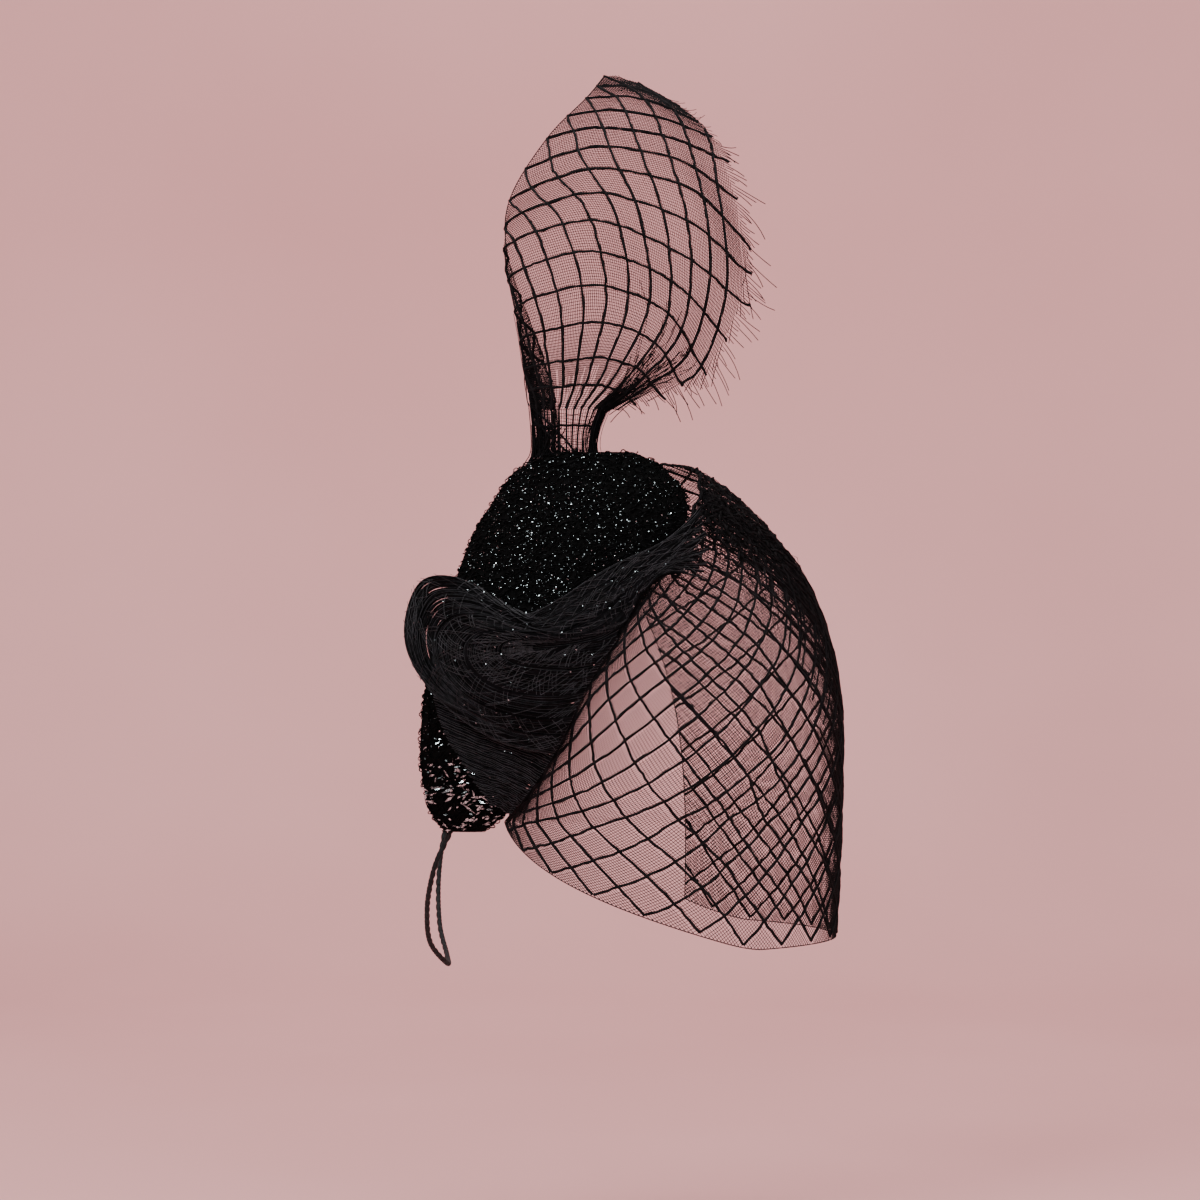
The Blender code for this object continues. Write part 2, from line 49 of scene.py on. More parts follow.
VEIL_NEAR = math.radians(-118)
VEIL_FAR = math.radians(70)
VEIL_LEAN = 0.028
DRAPE_LIFT = 0.018
FAN_LIFT = 0.005
PLUME_HEIGHT = 0.139
PLUME_WIDTH = 0.092
PLUME_CURL = 0.050
FOOT_DEPTH = 0.011
FOOT_HEIGHT = 0.022
FOOT_SINK = 0.004
FOOT_SET_BACK = 0.0032
FOOT_ACROSS = -0.30
FOOT_FLUTE_DEPTH = 0.0008
NET_CORD = 0.0018
NET_WALL = 0.0014
ELASTIC_DIAMETER = 0.0022
GAP = 0.0003

# Crochet: loops of yarn in slanted rows, loops that stick out of the base's edge, bright facets
LOOP_PITCH = 0.00165
LOOP_ROW = 0.00185
LOOP_SLOPE = 0.45
LOOP_JITTER = 0.0003
LOOP_RADIUS = 0.00026
LOOP_BEND = np.array([0.0, 0.85, 1.0, 0.7, 0.0])
LOOP_WALK = np.array([-1.0, -0.55, 0.05, 0.6, 1.0])
ROW_HALF = 0.055
SPARE_ROWS = 12
RIM_LOOPS = 620
RIM_LOOP_RADIUS = 0.00024
RIM_ACROSS = 0.985
BASE_GLINTS = 6400
DRAPE_GLINTS = 110

# Windowpane net: coarse cords in squares, fine threads between them
NET_PITCH = 0.0132
NET_THREADS = 12
NET_PHASE = 0.006
CORD_RADIUS = 0.00058
THIN_CORD = 0.7 * CORD_RADIUS
CORD_SWAY = 0.00046
CORD_SHAKE = 0.00016
CORD_LIFT = 0.00015
CORD_STEP = 0.0026
THREAD_RADIUS = 0.000115
THREAD_LIFT = 0.00012
THREAD_STEP = 0.0075
PLUME_THREAD_RADIUS = 0.00013
SELVEDGE = 0.0014
EDGE_INSET = 0.0002
EDGE_RADIUS = 0.00022
END_RADIUS = 0.00025

# The veil's cloth: its size, its ease at the base's tip, its grid, its folds and its twisted rim
VEIL_HEIGHT = 0.2286
VEIL_TIP_EASE = 0.027
VEIL_TIP_RUN = 0.025
VEIL_COLUMNS = 400
VEIL_ROWS = 150
HEM_TURN = math.radians(68)
NEAR_SHARE = 0.3
FOLD_WAVE = 0.0065
FOLD_STRENGTH = 0.9
SEAM_ENDS = 420
RIM_TWIST = 0.0085
RIM_PLY = 0.00034

# Where each column of the veil's cloth ends on the gathered upper edge: share of the hem's length,
# height of its end, and its azimuth in degrees, or the base's front edge where that is further on.
GATHER_TABLE = {
    "share": (0.00, 0.12, 0.25, 0.40, 0.55, 0.68, 0.78, 0.88, 1.00),
    "height": (0.076, 0.083, 0.089, 0.094, 0.098, 0.102, 0.107, 0.110, 0.110),
    "azimuth": (-90, -75, -62, -50, -42, -34, -5, 45, 105),
}
# The net that is folded over at the gathers is drawn together on a shorter line. Each layer has
# the phase of its net, its lift at the gathers, and the step from one kept cord to the next.
OVER_TABLE = {
    "share": (0.00, 0.25, 0.50, 0.75, 1.00),
    "height": (0.076, 0.088, 0.092, 0.096, 0.100),
    "azimuth": (-90, -62, -50, -43, -36),
}
OVER_LAYERS = ((0.013, 0.0012, 1), (0.004, 0.0022, 2))
OVER_WAVE = 0.008
OVER_STRENGTH = 0.2
OVER_DEPTH = 0.075
OVER_FRONT_DEPTH = 0.150
OVER_FRONT = 0.64
OVER_FRONT_WIDTH = 0.15
OVER_FROM = 0.36
OVER_TO = 0.88
OVER_STREAKS = 46
OVER_SWAY = 0.005
# How the cloth's height is spread along its first column: even shares of the column
TIP_SPREAD = (0.0, 0.33, 0.52, 0.735, 1.0)

# The base's levels: widths as shares of BASE_WIDTH, depths as shares of the head's half width
BASE_TABLE = {
    "rise": (0.00, 0.12, 0.25, 0.38, 0.51, 0.64, 0.77, 0.87, 0.94, 1.00),
    "centre": (-0.51, -0.465, -0.40, -0.335, -0.235, -0.12, 0.01, 0.08, 0.075, 0.105),
    "half": (0.37, 0.35, 0.355, 0.36, 0.405, 0.46, 0.58, 0.67, 0.74, 0.82),
    "back": (0.79, 0.81, 0.845, 0.83, 0.755, 0.63, 0.50, 0.41, 0.37, 0.375),
    "middle": (0.82, 0.955, 1.025, 1.025, 0.985, 0.895, 0.78, 0.65, 0.53, 0.40),
    "front": (0.80, 0.985, 1.05, 1.03, 0.935, 0.805, 0.65, 0.54, 0.46, 0.39),
}
# Three lines along the drape: places across and up the base, and shares of DRAPE_LIFT
DRAPE_TABLE = {
    "outer_across": (
        1.01, 0.82, 0.59, 0.42, 0.24, -0.02, -0.44, -0.86, -1.18, -1.24, -1.11, -0.76, -0.26, 0.33, 1.05,
    ),
    "outer_rise": (
        0.82, 0.74, 0.69, 0.645, 0.59, 0.55, 0.59, 0.63, 0.62, 0.545, 0.45, 0.37, 0.30, 0.25, 0.225,
    ),
    "outer_lift": (
        0.50, 0.34, 0.26, 0.24, 0.26, 0.34, 0.44, 0.50, 0.50, 0.44, 0.44, 0.50, 0.50, 0.42, 0.32,
    ),
    "middle_across": (
        1.21, 0.98, 0.81, 0.69, 0.54, 0.31, 0.01, -0.26, -0.44, -0.50, -0.38, -0.10, 0.26, 0.70, 1.10,
    ),
    "middle_rise": (
        0.74, 0.70, 0.64, 0.59, 0.54, 0.505, 0.505, 0.505, 0.49, 0.455, 0.405, 0.36, 0.335, 0.325, 0.335,
    ),
    "middle_lift": (
        0.50, 0.34, 0.26, 0.28, 0.36, 0.50, 0.72, 0.89, 0.94, 0.94, 0.89, 0.78, 0.61, 0.38, 0.16,
    ),
    "inner_across": (
        1.50, 1.11, 0.98, 1.04, 1.02, 0.80, 0.56, 0.36, 0.25, 0.24, 0.30, 0.44, 0.64, 0.86, 1.07,
    ),
    "inner_rise": (
        0.65, 0.665, 0.62, 0.575, 0.54, 0.516, 0.497, 0.485, 0.476, 0.466, 0.464, 0.472, 0.482, 0.494, 0.508,
    ),
    "inner_lift": (
        0.42, 0.34, 0.18, 0.10, 0.10, 0.16, 0.28, 0.38, 0.47, 0.49, 0.44, 0.34, 0.24, 0.17, 0.10,
    ),
}
# The fan's back and front lines, from the drape down to the base's tip
FAN_TABLE = {
    "back_across": (-0.84, -0.68, -0.46, -0.06, 0.50),
    "back_rise": (0.365, 0.295, 0.235, 0.16, 0.09),
    "front_across": (1.12, 1.12, 1.12, 1.10, 1.06),
    "front_rise": (0.245, 0.195, 0.15, 0.11, 0.07),
    "lift": (0.30, 0.28, 0.27, 0.26, 0.26),
}
# The plume's surface, a row for each second net row, and how many cells wide the net is there
PLUME_ROWS = (0.0, 2.0, 4.0, 6.0, 8.0, 10.0, 12.0, 14.0)
PLUME_ACROSS = (
    (-0.05, -0.15, -0.04, 0.07, 0.14, 0.17),
    (-0.06, -0.18, -0.03, 0.16, 0.31, 0.38),
    (-0.14, -0.22, -0.07, 0.16, 0.43, 0.59),
    (-0.25, -0.26, -0.10, 0.16, 0.51, 0.75),
    (-0.25, -0.19, -0.06, 0.16, 0.53, 0.77),
    (-0.09, -0.02, 0.07, 0.18, 0.44, 0.68),
    (0.08, 0.12, 0.18, 0.26, 0.40, 0.57),
    (0.16, 0.19, 0.22, 0.25, 0.31, 0.41),
)
PLUME_RISE = (
    (0.00, 0.00, 0.00, 0.00, 0.00, 0.00),
    (0.06, 0.11, 0.13, 0.14, 0.11, 0.06),
    (0.22, 0.28, 0.32, 0.34, 0.27, 0.12),
    (0.43, 0.46, 0.50, 0.52, 0.43, 0.32),
    (0.60, 0.62, 0.65, 0.68, 0.63, 0.50),
    (0.79, 0.80, 0.81, 0.81, 0.79, 0.74),
    (0.92, 0.92, 0.92, 0.92, 0.90, 0.86),
    (1.00, 1.00, 1.00, 0.99, 0.98, 0.95),
)
PLUME_BACK = (
    (0.17, 0.03, -0.06, -0.04, 0.02, 0.08),
    (0.26, 0.02, -0.16, -0.18, -0.04, 0.16),
    (0.20, -0.04, -0.26, -0.28, -0.04, 0.32),
    (0.08, 0.00, -0.20, -0.26, -0.02, 0.40),
    (0.24, 0.14, 0.00, -0.06, 0.14, 0.52),
    (0.48, 0.40, 0.32, 0.26, 0.38, 0.68),
    (0.74, 0.70, 0.66, 0.62, 0.68, 0.84),
    (1.02, 1.00, 0.98, 0.98, 1.00, 1.06),
)
PLUME_CELLS = (15.0, 13.6, 12.2, 10.8, 9.2, 6.4, 3.9, 1.7)
# The plume's net: its last column, its fraying, and the gathers and cut threads of its foot
PLUME_LAST = 18
PLUME_SHORTEST = 4
PLUME_FRAY = 0.020
END_STEPS = 5
FOOT_COLUMN = 12
FOOT_GATHERS = 150
FOOT_FRAYS = 300

# Pleats: narrow strips of net in layers, the hatching over them, and the drape's closed fold
PLEAT_DEPTH = 0.0010
PLEAT_TURN = math.radians(45)
PLEAT_TURN_CHANGE = math.radians(22)
PLEAT_STEPS = 90
LAYER_GAP = 0.0007
HATCH_PITCH = 0.0015
HATCH_LIFT = 0.0013
HATCH_STEPS = 46
HATCH_PARTS = 5
CLOSE_FROM = 0.643
CLOSE_BACK = 0.46
CLOSE_ON = 0.357
CLOSE_ACROSS = 0.93
CLOSE_SINK = 0.0006

# The elastic's route, from below the base's tip round the nape and up the head's far side
ELASTIC_ROUTE = (
    (-0.0488, -0.0555, -0.0360),
    (-0.0525, -0.0548, -0.0440),
    (-0.0552, -0.0490, -0.0530),
    (-0.0572, -0.0370, -0.0645),
    (-0.0568, -0.0200, -0.0790),
    (-0.0510, -0.0020, -0.0890),
    (-0.0520, 0.0180, -0.0880),
    (-0.0560, 0.0380, -0.0770),
    (-0.0570, 0.0560, -0.0560),
    (-0.0530, 0.0660, -0.0300),
    (-0.0460, 0.0700, -0.0020),
    (-0.0380, 0.0670, 0.0270),
    (-0.0290, 0.0560, 0.0540),
    (-0.0190, 0.0360, 0.0750),
    (-0.0100, 0.0110, 0.0860),
    (-0.0050, -0.0100, 0.0885),
)
ELASTIC_NEAR = (-0.25, 0.06)
ELASTIC_FAR = (-0.10, 0.84)
PLAIT_PITCH = 0.0042
PLAIT_RELIEF = 0.20
PLAIT_SIDES = 16

# Floor and backdrop
FLOOR_LEVEL = -0.21
FLOOR_REACH = 6.0
BACKDROP_TOP = 3.0
SWEEP_START = 0.85
SWEEP_RADIUS = 0.55
SWEEP_STEPS = 12

# The photograph's view: from the wearer's right, level, 480 mm wide at the head's middle plane
CAMERA_PLACE = (0.010, -1.3333, 0.056)
CAMERA_LENS = 100
CAMERA_SENSOR = 36

# The way that the base's side of the part faces
OUTWARD = np.array([0.0, -1.0, 0.0])


def hermite(knots, values, at):
    """A smooth curve through values at knots, read at each place in at."""
    knots, values = np.asarray(knots, float), np.asarray(values, float)
    at = np.clip(np.asarray(at, float), knots[0], knots[-1])
    slopes = np.diff(values) / np.diff(knots)
    tangents = np.concatenate([slopes[:1], (slopes[1:] + slopes[:-1]) / 2, slopes[-1:]])
    i = np.clip(np.searchsorted(knots, at, side="right") - 1, 0, len(knots) - 2)
    span = knots[i + 1] - knots[i]
    t = (at - knots[i]) / span
    return (
        (2 * t**3 - 3 * t**2 + 1) * values[i]
        + (t**3 - 2 * t**2 + t) * span * tangents[i]
        + (3 * t**2 - 2 * t**3) * values[i + 1]
        + (t**3 - t**2) * span * tangents[i + 1]
    )


def spread(values, at):
    """A smooth curve through evenly spaced values, read at shares of its length."""
    return hermite(np.linspace(0, 1, len(values)), values, at)


def unit(vectors):
    length = np.linalg.norm(vectors, axis=-1, keepdims=True)
    return vectors / np.maximum(length, 1e-12)


def run_length(points):
    steps = np.linalg.norm(np.diff(points, axis=0), axis=1)
    return np.concatenate([[0.0], np.cumsum(steps)])


def base_level(rise):
    """Middle x and half width of the base at a share of its height."""
    centre = hermite(BASE_TABLE["rise"], BASE_TABLE["centre"], rise) * BASE_WIDTH
    full = hermite(BASE_TABLE["rise"], BASE_TABLE["half"], rise) * BASE_WIDTH
    rounded = np.sqrt(np.clip(1 - (2 * np.asarray(rise, float) - 1) ** 2, 0, 1))
    return centre, full * rounded


def base_face(across, rise):
    """A point of the base's outer face. Past the base's edges it runs on at the edge's depth."""
    across, rise = np.broadcast_arrays(np.asarray(across, float), np.asarray(rise, float))
    centre, half = base_level(rise)
    back, middle, front = (
        hermite(BASE_TABLE["rise"], BASE_TABLE[name], rise) for name in ("back", "middle", "front")
    )
    u = np.clip(across, -1, 1)
    depth = middle + (front - back) / 2 * u + ((front + back) / 2 - middle) * u**2
    return np.stack(
        [centre + half * across, -depth * HEAD_HALF_WIDTH, BASE_BOTTOM + BASE_HEIGHT * rise],
        axis=-1,
    )


def base_frame(across, rise):
    """Unit vectors at a point of the base: along the level, up the base, and out of it."""
    across, rise = np.broadcast_arrays(np.asarray(across, float), np.asarray(rise, float))
    step = 0.02
    u, v = np.clip(across, step - 1, 1 - step), np.clip(rise, 2 * step, 1 - 2 * step)
    along = base_face(u + step, v) - base_face(u - step, v)
    up = base_face(u, v + step) - base_face(u, v - step)
    return unit(along), unit(up), unit(np.cross(along, up))


def base_point(across, rise, lift=0.0):
    """A point lift metres out from the base's outer face, square to it."""
    normal = base_frame(across, rise)[2]
    return base_face(across, rise) + normal * np.asarray(lift, float)[..., None]


def seat_point():
    return base_point(0.0, SEAT_RISE, -BASE_WALL)


HEAD = -seat_point()


def veil_share(z):
    """0 at the veil's widest level, 1 at its crown."""
    return np.clip((z - VEIL_WIDEST) / (VEIL_CROWN - VEIL_WIDEST), 0, 1)


def veil_reach(z):
    """Half length of the veil's level, from its axis to the front."""
    low = np.clip((VEIL_WIDEST - z) / (4 * VEIL_DROP), 0, 1)
    shape = (1 - veil_share(z) ** 2.2) ** 0.61 * np.sqrt(1 - low**2)
    return (VEIL_REACH - VEIL_AXIS) * shape


def veil_seam(z):
    """The point on the base's front edge where the veil is sewn, at each height."""
    rise = np.clip((z - BASE_BOTTOM) / BASE_HEIGHT, 0.04, 0.985)
    half = base_level(rise)[1]
    return base_point(1 + (2 * GAP + NET_CORD) / half, rise, -BASE_WALL / 2)


def seam_azimuth(z):
    return -np.arccos(np.clip((veil_seam(z)[..., 0] - VEIL_AXIS) / veil_reach(z), -1, 1))


def veil_point(azimuth, z):
    """A point of the veil. azimuth is 0 at the front, negative on the base's side."""
    azimuth, z = np.broadcast_arrays(np.asarray(azimuth, float), np.asarray(z, float))
    reach = veil_reach(z)
    middle = -VEIL_LEAN * veil_share(z) ** 1.5
    seam = veil_seam(z)
    turn = np.sqrt(np.clip(1 - ((seam[..., 0] - VEIL_AXIS) / reach) ** 2, 0.2, 1))
    near = np.maximum(middle - seam[..., 1], 0.003) / turn
    far = VEIL_SIDE * (1 - veil_share(z) ** 2) ** 0.45
    side = np.where(azimuth < 0, near, far)
    return np.stack(
        [VEIL_AXIS + reach * np.cos(azimuth), middle + side * np.sin(azimuth), z], axis=-1
    )


def veil_hem(azimuth):
    """Height of the veil's lower selvedge."""
    past = np.maximum(np.abs(azimuth) - VEIL_FLAT, 0) / HEM_TURN
    return -VEIL_DROP + VEIL_LIFT * past**1.6


def ripple(along, up, seed, longest):
    """Smooth unevenness between about -1 and 1, the same each run."""
    rng = np.random.default_rng(seed)
    total = 0.0
    for k in range(4):
        turn, phase = rng.uniform(0, math.pi), rng.uniform(0, 2 * math.pi)
        length = longest / (1 + 0.8 * k)
        total = total + np.sin(
            2 * math.pi * (along * math.cos(turn) + up * math.sin(turn)) / length + phase
        ) / (1 + 0.5 * k)
    return total / 2.3


def waver(along, seed, longest):
    """Smooth unevenness along one line."""
    return ripple(along, 0.0, seed, longest)


def add_object(name, data):
    made = bpy.data.objects.new(name, data)
    bpy.context.scene.collection.objects.link(made)
    return made


class Cloth:
    """Cloth laid on a surface: its points at a grid of flat places, evenly spaced both ways."""

    def __init__(self, points, width, height):
        self.width, self.height = width, height
        self.points = points
        self.normals = self.square_to(points)

    def square_to(self, points):
        return unit(np.cross(np.gradient(points, axis=0), np.gradient(points, axis=1)))

    def fold(self, lift):
        """Moves each point of the grid square to the cloth."""
        self.points = self.points + self.normals * lift[..., None]
        self.normals = self.square_to(self.points)

    def flat(self):
        """Flat places of the grid's points."""
        count = self.points.shape
        return np.meshgrid(
            np.linspace(0, self.width, count[0]), np.linspace(0, self.height, count[1]), indexing="ij"
        )

    def read(self, grid, along, up):
        place = [along / self.width * (grid.shape[0] - 1), up / self.height * (grid.shape[1] - 1)]
        index = [np.clip(p.astype(int), 0, n - 2) for p, n in zip(place, grid.shape)]
        a, b = ((p - i)[:, None] for p, i in zip(place, index))
        i, j = index
        return (
            grid[i, j] * (1 - a) * (1 - b)
            + grid[i + 1, j] * a * (1 - b)
            + grid[i, j + 1] * (1 - a) * b
            + grid[i + 1, j + 1] * a * b
        )

    def at(self, along, up, lift=0.0):
        normals = unit(self.read(self.normals, along, up))
        lift = np.broadcast_to(np.asarray(lift, float), along.shape)[:, None]
        return self.read(self.points, along, up) + normals * lift, normals


def at_lengths(points, shares):
    """Points of a line at shares of its length."""
    length = run_length(points)
    return np.stack([np.interp(shares * length[-1], length, points[:, k]) for k in range(3)], axis=-1)


def veil_cloth(table):
    """The veil's cloth. Its hem runs along the chin, its first edge along the base's front edge,
    and its upper edge is drawn together on a short line over the forehead."""
    fine = np.linspace(0, 1, VEIL_COLUMNS)
    hem = veil_point(*hem_places(fine))
    length = run_length(hem)
    cloth = length + VEIL_TIP_EASE * (1 - np.exp(-length / VEIL_TIP_RUN))
    width = cloth[-1]
    shares = np.interp(np.linspace(0, width, VEIL_COLUMNS), cloth, fine)
    columns = np.array([veil_column(share, table) for share in shares])
    return Cloth(columns, width, VEIL_HEIGHT)


def hem_places(share):
    azimuth = VEIL_NEAR + (VEIL_FAR - VEIL_NEAR) * share
    return azimuth, veil_hem(azimuth)


def veil_column(share, table):
    """One column of the veil's cloth, from the hem to the gathered edge, at even cloth heights."""
    azimuth, low = hem_places(share)
    high = hermite(table["share"], table["height"], share)
    end = math.radians(hermite(table["share"], table["azimuth"], share))
    rise = np.linspace(0, 1, 240)
    z = low + (high - low) * rise
    edge = seam_azimuth(z)
    follow = (1 - share) ** 1.5 * (edge - VEIL_NEAR) * (1 - rise**3)
    path = azimuth + follow + (end - azimuth) * rise**3
    near = np.clip(1 - share / NEAR_SHARE, 0, 1)
    path = path * (1 - near**2) + edge * near**2
    points = veil_point(np.maximum(path, edge), z)
    length = run_length(points)[-1]
    even = np.linspace(0, 1, 400)
    slack = max(VEIL_HEIGHT - length, 0.0)
    drawn = ((VEIL_HEIGHT - slack) * even + slack * even**5) / VEIL_HEIGHT
    mixed = drawn * (1 - near) + spread(TIP_SPREAD, even) * near
    mixed = np.maximum.accumulate(mixed) + 1e-7 * np.arange(len(even))
    heights = np.linspace(0, 1, VEIL_ROWS)
    return at_lengths(points, np.interp(heights, mixed / mixed[-1], even))


def gather_folds(cloth, wave, strength, seed):
    """Folds that take up the cloth where its columns are drawn together."""
    along, up = cloth.flat()
    step = cloth.width / (cloth.points.shape[0] - 1)
    drawn = np.linalg.norm(np.gradient(cloth.points, axis=0), axis=-1) / step
    drawn = np.clip(drawn, 0.12, 1)
    depth = wave * drawn / math.pi * np.sqrt(np.maximum(1 / drawn - 1, 0))
    phase = 2 * math.pi * along / wave + 1.9 * ripple(along, up, seed, 0.11)
    near_edge = np.clip((up / cloth.height - 0.5) / 0.4, 0, 1) ** 1.5
    cloth.fold(strength * depth * near_edge * np.sin(phase))


class Strands:
    """Collects tubes and strips as arrays, for one joined mesh."""

    def __init__(self):
        self.vertices, self.faces, self.count = [], [], 0

    def add(self, vertices, faces):
        self.vertices.append(vertices)
        self.faces.append(faces + self.count)
        self.count += len(vertices)

    def tube(self, points, normals, radii, sides=3):
        """A tube with open ends. normals, one or one a point, fix how its sides are turned."""
        along = unit(np.gradient(points, axis=0))
        side = unit(np.cross(along, normals))
        out = np.cross(side, along)
        angles = 2 * math.pi * np.arange(sides) / sides + math.pi / 2
        radii = np.broadcast_to(np.asarray(radii, float), (len(points),))
        rings = points[:, None] + radii[:, None, None] * (
            side[:, None] * np.cos(angles)[None, :, None] + out[:, None] * np.sin(angles)[None, :, None]
        )
        start = np.arange(len(points) - 1)[:, None] * sides
        first = start + np.arange(sides)[None, :]
        after = start + (np.arange(sides)[None, :] + 1) % sides
        quads = np.stack([first, after, after + sides, first + sides], axis=-1).reshape(-1, 4)
        self.add(rings.reshape(-1, 3), quads)

    def lay(self, cloth, along, up, radii, lift=0.0, sides=3):
        """A tube on a cloth, along flat places."""
        points, normals = cloth.at(along, up, lift)
        self.tube(points, normals, radii, sides)

    def strip(self, low, high):
        """A band of faces between two lines of points."""
        count = len(low)
        first = np.arange(count - 1)
        self.add(np.concatenate([low, high]), np.stack(
            [first, first + 1, first + 1 + count, first + count], axis=-1
        ))

    def piece(self, name, material, body="root"):
        data = bpy.data.meshes.new(name)
        places = np.concatenate(self.vertices) + HEAD
        data.from_pydata(places.tolist(), [], np.concatenate(self.faces).tolist())
        data.shade_smooth()
        made = add_object(name, data)
        made.data.materials.append(material)
        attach(made, body)
        return made


def slanted(width, height, starts, inset, reach):
    """Flat lines at 45 degrees, both ways, that meet at starts on the lower edge. reach is the
    length of a step. Each is a pair of arrays, along and up."""
    lines = []
    for start in starts:
        for sign in (1, -1):
            low = inset + max(0.0, -start if sign > 0 else start - width)
            high = min(height - inset, inset + (width - start if sign > 0 else start))
            if high - low < 0.001:
                continue
            count = max(2, int(math.ceil((high - low) * math.sqrt(2) / reach)) + 1)
            up = np.linspace(low, high, count)
            lines.append((start + sign * (up - inset), up))
    return lines


def net_starts(width, height, phase):
    """Where the net's coarse cords turn on the lower selvedge, and where its threads would."""
    diagonal = NET_PITCH * math.sqrt(2)
    count = int((width + height) / diagonal) + 2
    cords = phase + diagonal * np.arange(-int(height / diagonal) - 2, count)
    threads = [cord + diagonal * k / NET_THREADS for cord in cords for k in range(1, NET_THREADS)]
    return cords, threads


def lay_cord(strands, cloth, along, up, seed, radius=CORD_RADIUS):
    """A coarse cord of the net: uneven and a little wavy."""
    run = np.concatenate([[0.0], np.cumsum(np.hypot(np.diff(along), np.diff(up)))])
    sway = CORD_SWAY * waver(run, seed, 0.014) + CORD_SHAKE * waver(run, seed, 0.005)
    shift = sway * math.sqrt(0.5)
    lean = np.sign(along[-1] - along[0])
    along = np.clip(along - shift * lean, 0, cloth.width)
    up = np.clip(up + shift, 0, cloth.height)
    lift = CORD_LIFT * ripple(run, run, seed + 1, 0.02)
    radii = radius * (1 + 0.22 * waver(run, seed + 2, 0.0065))
    strands.lay(cloth, along, up, radii, lift, sides=5)


def edge_thread(strands, cloth, along, up, radius):
    """A thread along an edge of the cloth."""
    strands.lay(cloth, *np.broadcast_arrays(along, up), radius)


def make_veil(looks):
    cloth = veil_cloth(GATHER_TABLE)
    gather_folds(cloth, FOLD_WAVE, FOLD_STRENGTH, 11)
    cords, threads = net_starts(cloth.width, cloth.height, NET_PHASE)
    coarse, fine = Strands(), Strands()
    cord_lines = slanted(cloth.width, cloth.height, cords, SELVEDGE, CORD_STEP)
    for i, (along, up) in enumerate(cord_lines):
        lay_cord(coarse, cloth, along, up, 100 + 3 * i)
    thread_lines = slanted(cloth.width, cloth.height, threads, 0.0, THREAD_STEP)
    for i, (along, up) in enumerate(thread_lines):
        lift = THREAD_LIFT * ripple(along, up, i % 17, 0.03)
        fine.lay(cloth, along, up, THREAD_RADIUS, lift, sides=4)
    for up in (EDGE_INSET, cloth.height - EDGE_INSET):
        edge_thread(fine, cloth, np.linspace(0, cloth.width, 260), up, EDGE_RADIUS)
    for along in (EDGE_INSET, cloth.width - EDGE_INSET):
        edge_thread(fine, cloth, along, np.linspace(0, cloth.height, 160), END_RADIUS)
    net = fine.piece("veil_net", looks["thread"])
    mesh = coarse.piece("veil_cords", looks["cord"])
    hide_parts("face_veil")
    rim = make_veil_rim(cloth, looks)
    over = make_veil_over(looks)
    edge = make_seam_edge(cloth, looks)


def over_depth(share):
    """How far the folded-over net hangs down from the gathers, at each share of its width."""
    front = np.exp(-(((share - OVER_FRONT) / OVER_FRONT_WIDTH) ** 2))
    return OVER_DEPTH + OVER_FRONT_DEPTH * front


def over_line(cloth, along, up, rng):
    """The part of a flat line that lies in the folded-over net, which ends unevenly."""
    share = along / cloth.width
    depth = over_depth(share) * rng.uniform(0.42, 1.0)
    first = OVER_FROM + rng.uniform(0.06, 0.14)
    kept = (share > first) & (share < OVER_TO) & (up > cloth.height - depth)
    return along[kept], up[kept]


def make_veil_over(looks):
    """The net that is folded over at the gathers: two layers on the veil's upper front, that fan
    out from the drape's end and thin out downward."""
    rng = np.random.default_rng(13)
    strands = Strands()
    for phase, lift, step in OVER_LAYERS:
        cloth = veil_cloth(OVER_TABLE)
        gather_folds(cloth, OVER_WAVE, OVER_STRENGTH, 12)
        cloth.fold(lift * (cloth.flat()[1] / cloth.height) ** 2)
        cords, threads = net_starts(cloth.width, cloth.height, phase)
        cord_lines = slanted(cloth.width, cloth.height, cords[::step], 0.0, 0.003)
        for i, line in enumerate(cord_lines):
            along, up = over_line(cloth, *line, rng)
            if len(along) >= 4:
                lay_cord(strands, cloth, along, up, 900 + 3 * i, THIN_CORD)
        thread_lines = slanted(cloth.width, cloth.height, threads[:: 5 * step], 0.0, 0.006)
        for line in thread_lines:
            along, up = over_line(cloth, *line, rng)
            if len(along) >= 4:
                strands.lay(cloth, along, up, THREAD_RADIUS)
    for k in range(OVER_STREAKS):
        share = OVER_FROM + (OVER_TO - OVER_FROM) * rng.beta(1.2, 1.4)
        low = cloth.height - over_depth(share) * rng.uniform(0.3, 1.0)
        up = np.linspace(low, cloth.height, 22)
        along = share * cloth.width + OVER_SWAY * waver(up, 40 + k, 0.09)
        lift = rng.uniform(-0.002, 0.0)
        radius = rng.uniform(0.00009, 0.00018)
        strands.lay(cloth, np.clip(along, 0, cloth.width), up, radius, lift)
    over = strands.piece("veil_over", looks["thread"])
    return over


def make_seam_edge(cloth, looks):
    """Cut threads of the veil's first edge, which stick out from under the drape."""
    rng = np.random.default_rng(14)
    strands = Strands()
    for _ in range(SEAM_ENDS):
        low = rng.uniform(0.1, 0.97) * cloth.height
        out = np.linspace(0, rng.uniform(0.003, 0.011), 6)
        up = np.clip(low + out * rng.uniform(-0.9, 0.5), 0, cloth.height)
        lift = rng.uniform(0.0002, 0.0022)
        strands.lay(cloth, out, up, rng.uniform(0.00012, 0.00022), lift)
    edge = strands.piece("veil_edge", looks["pleats"])
    return edge


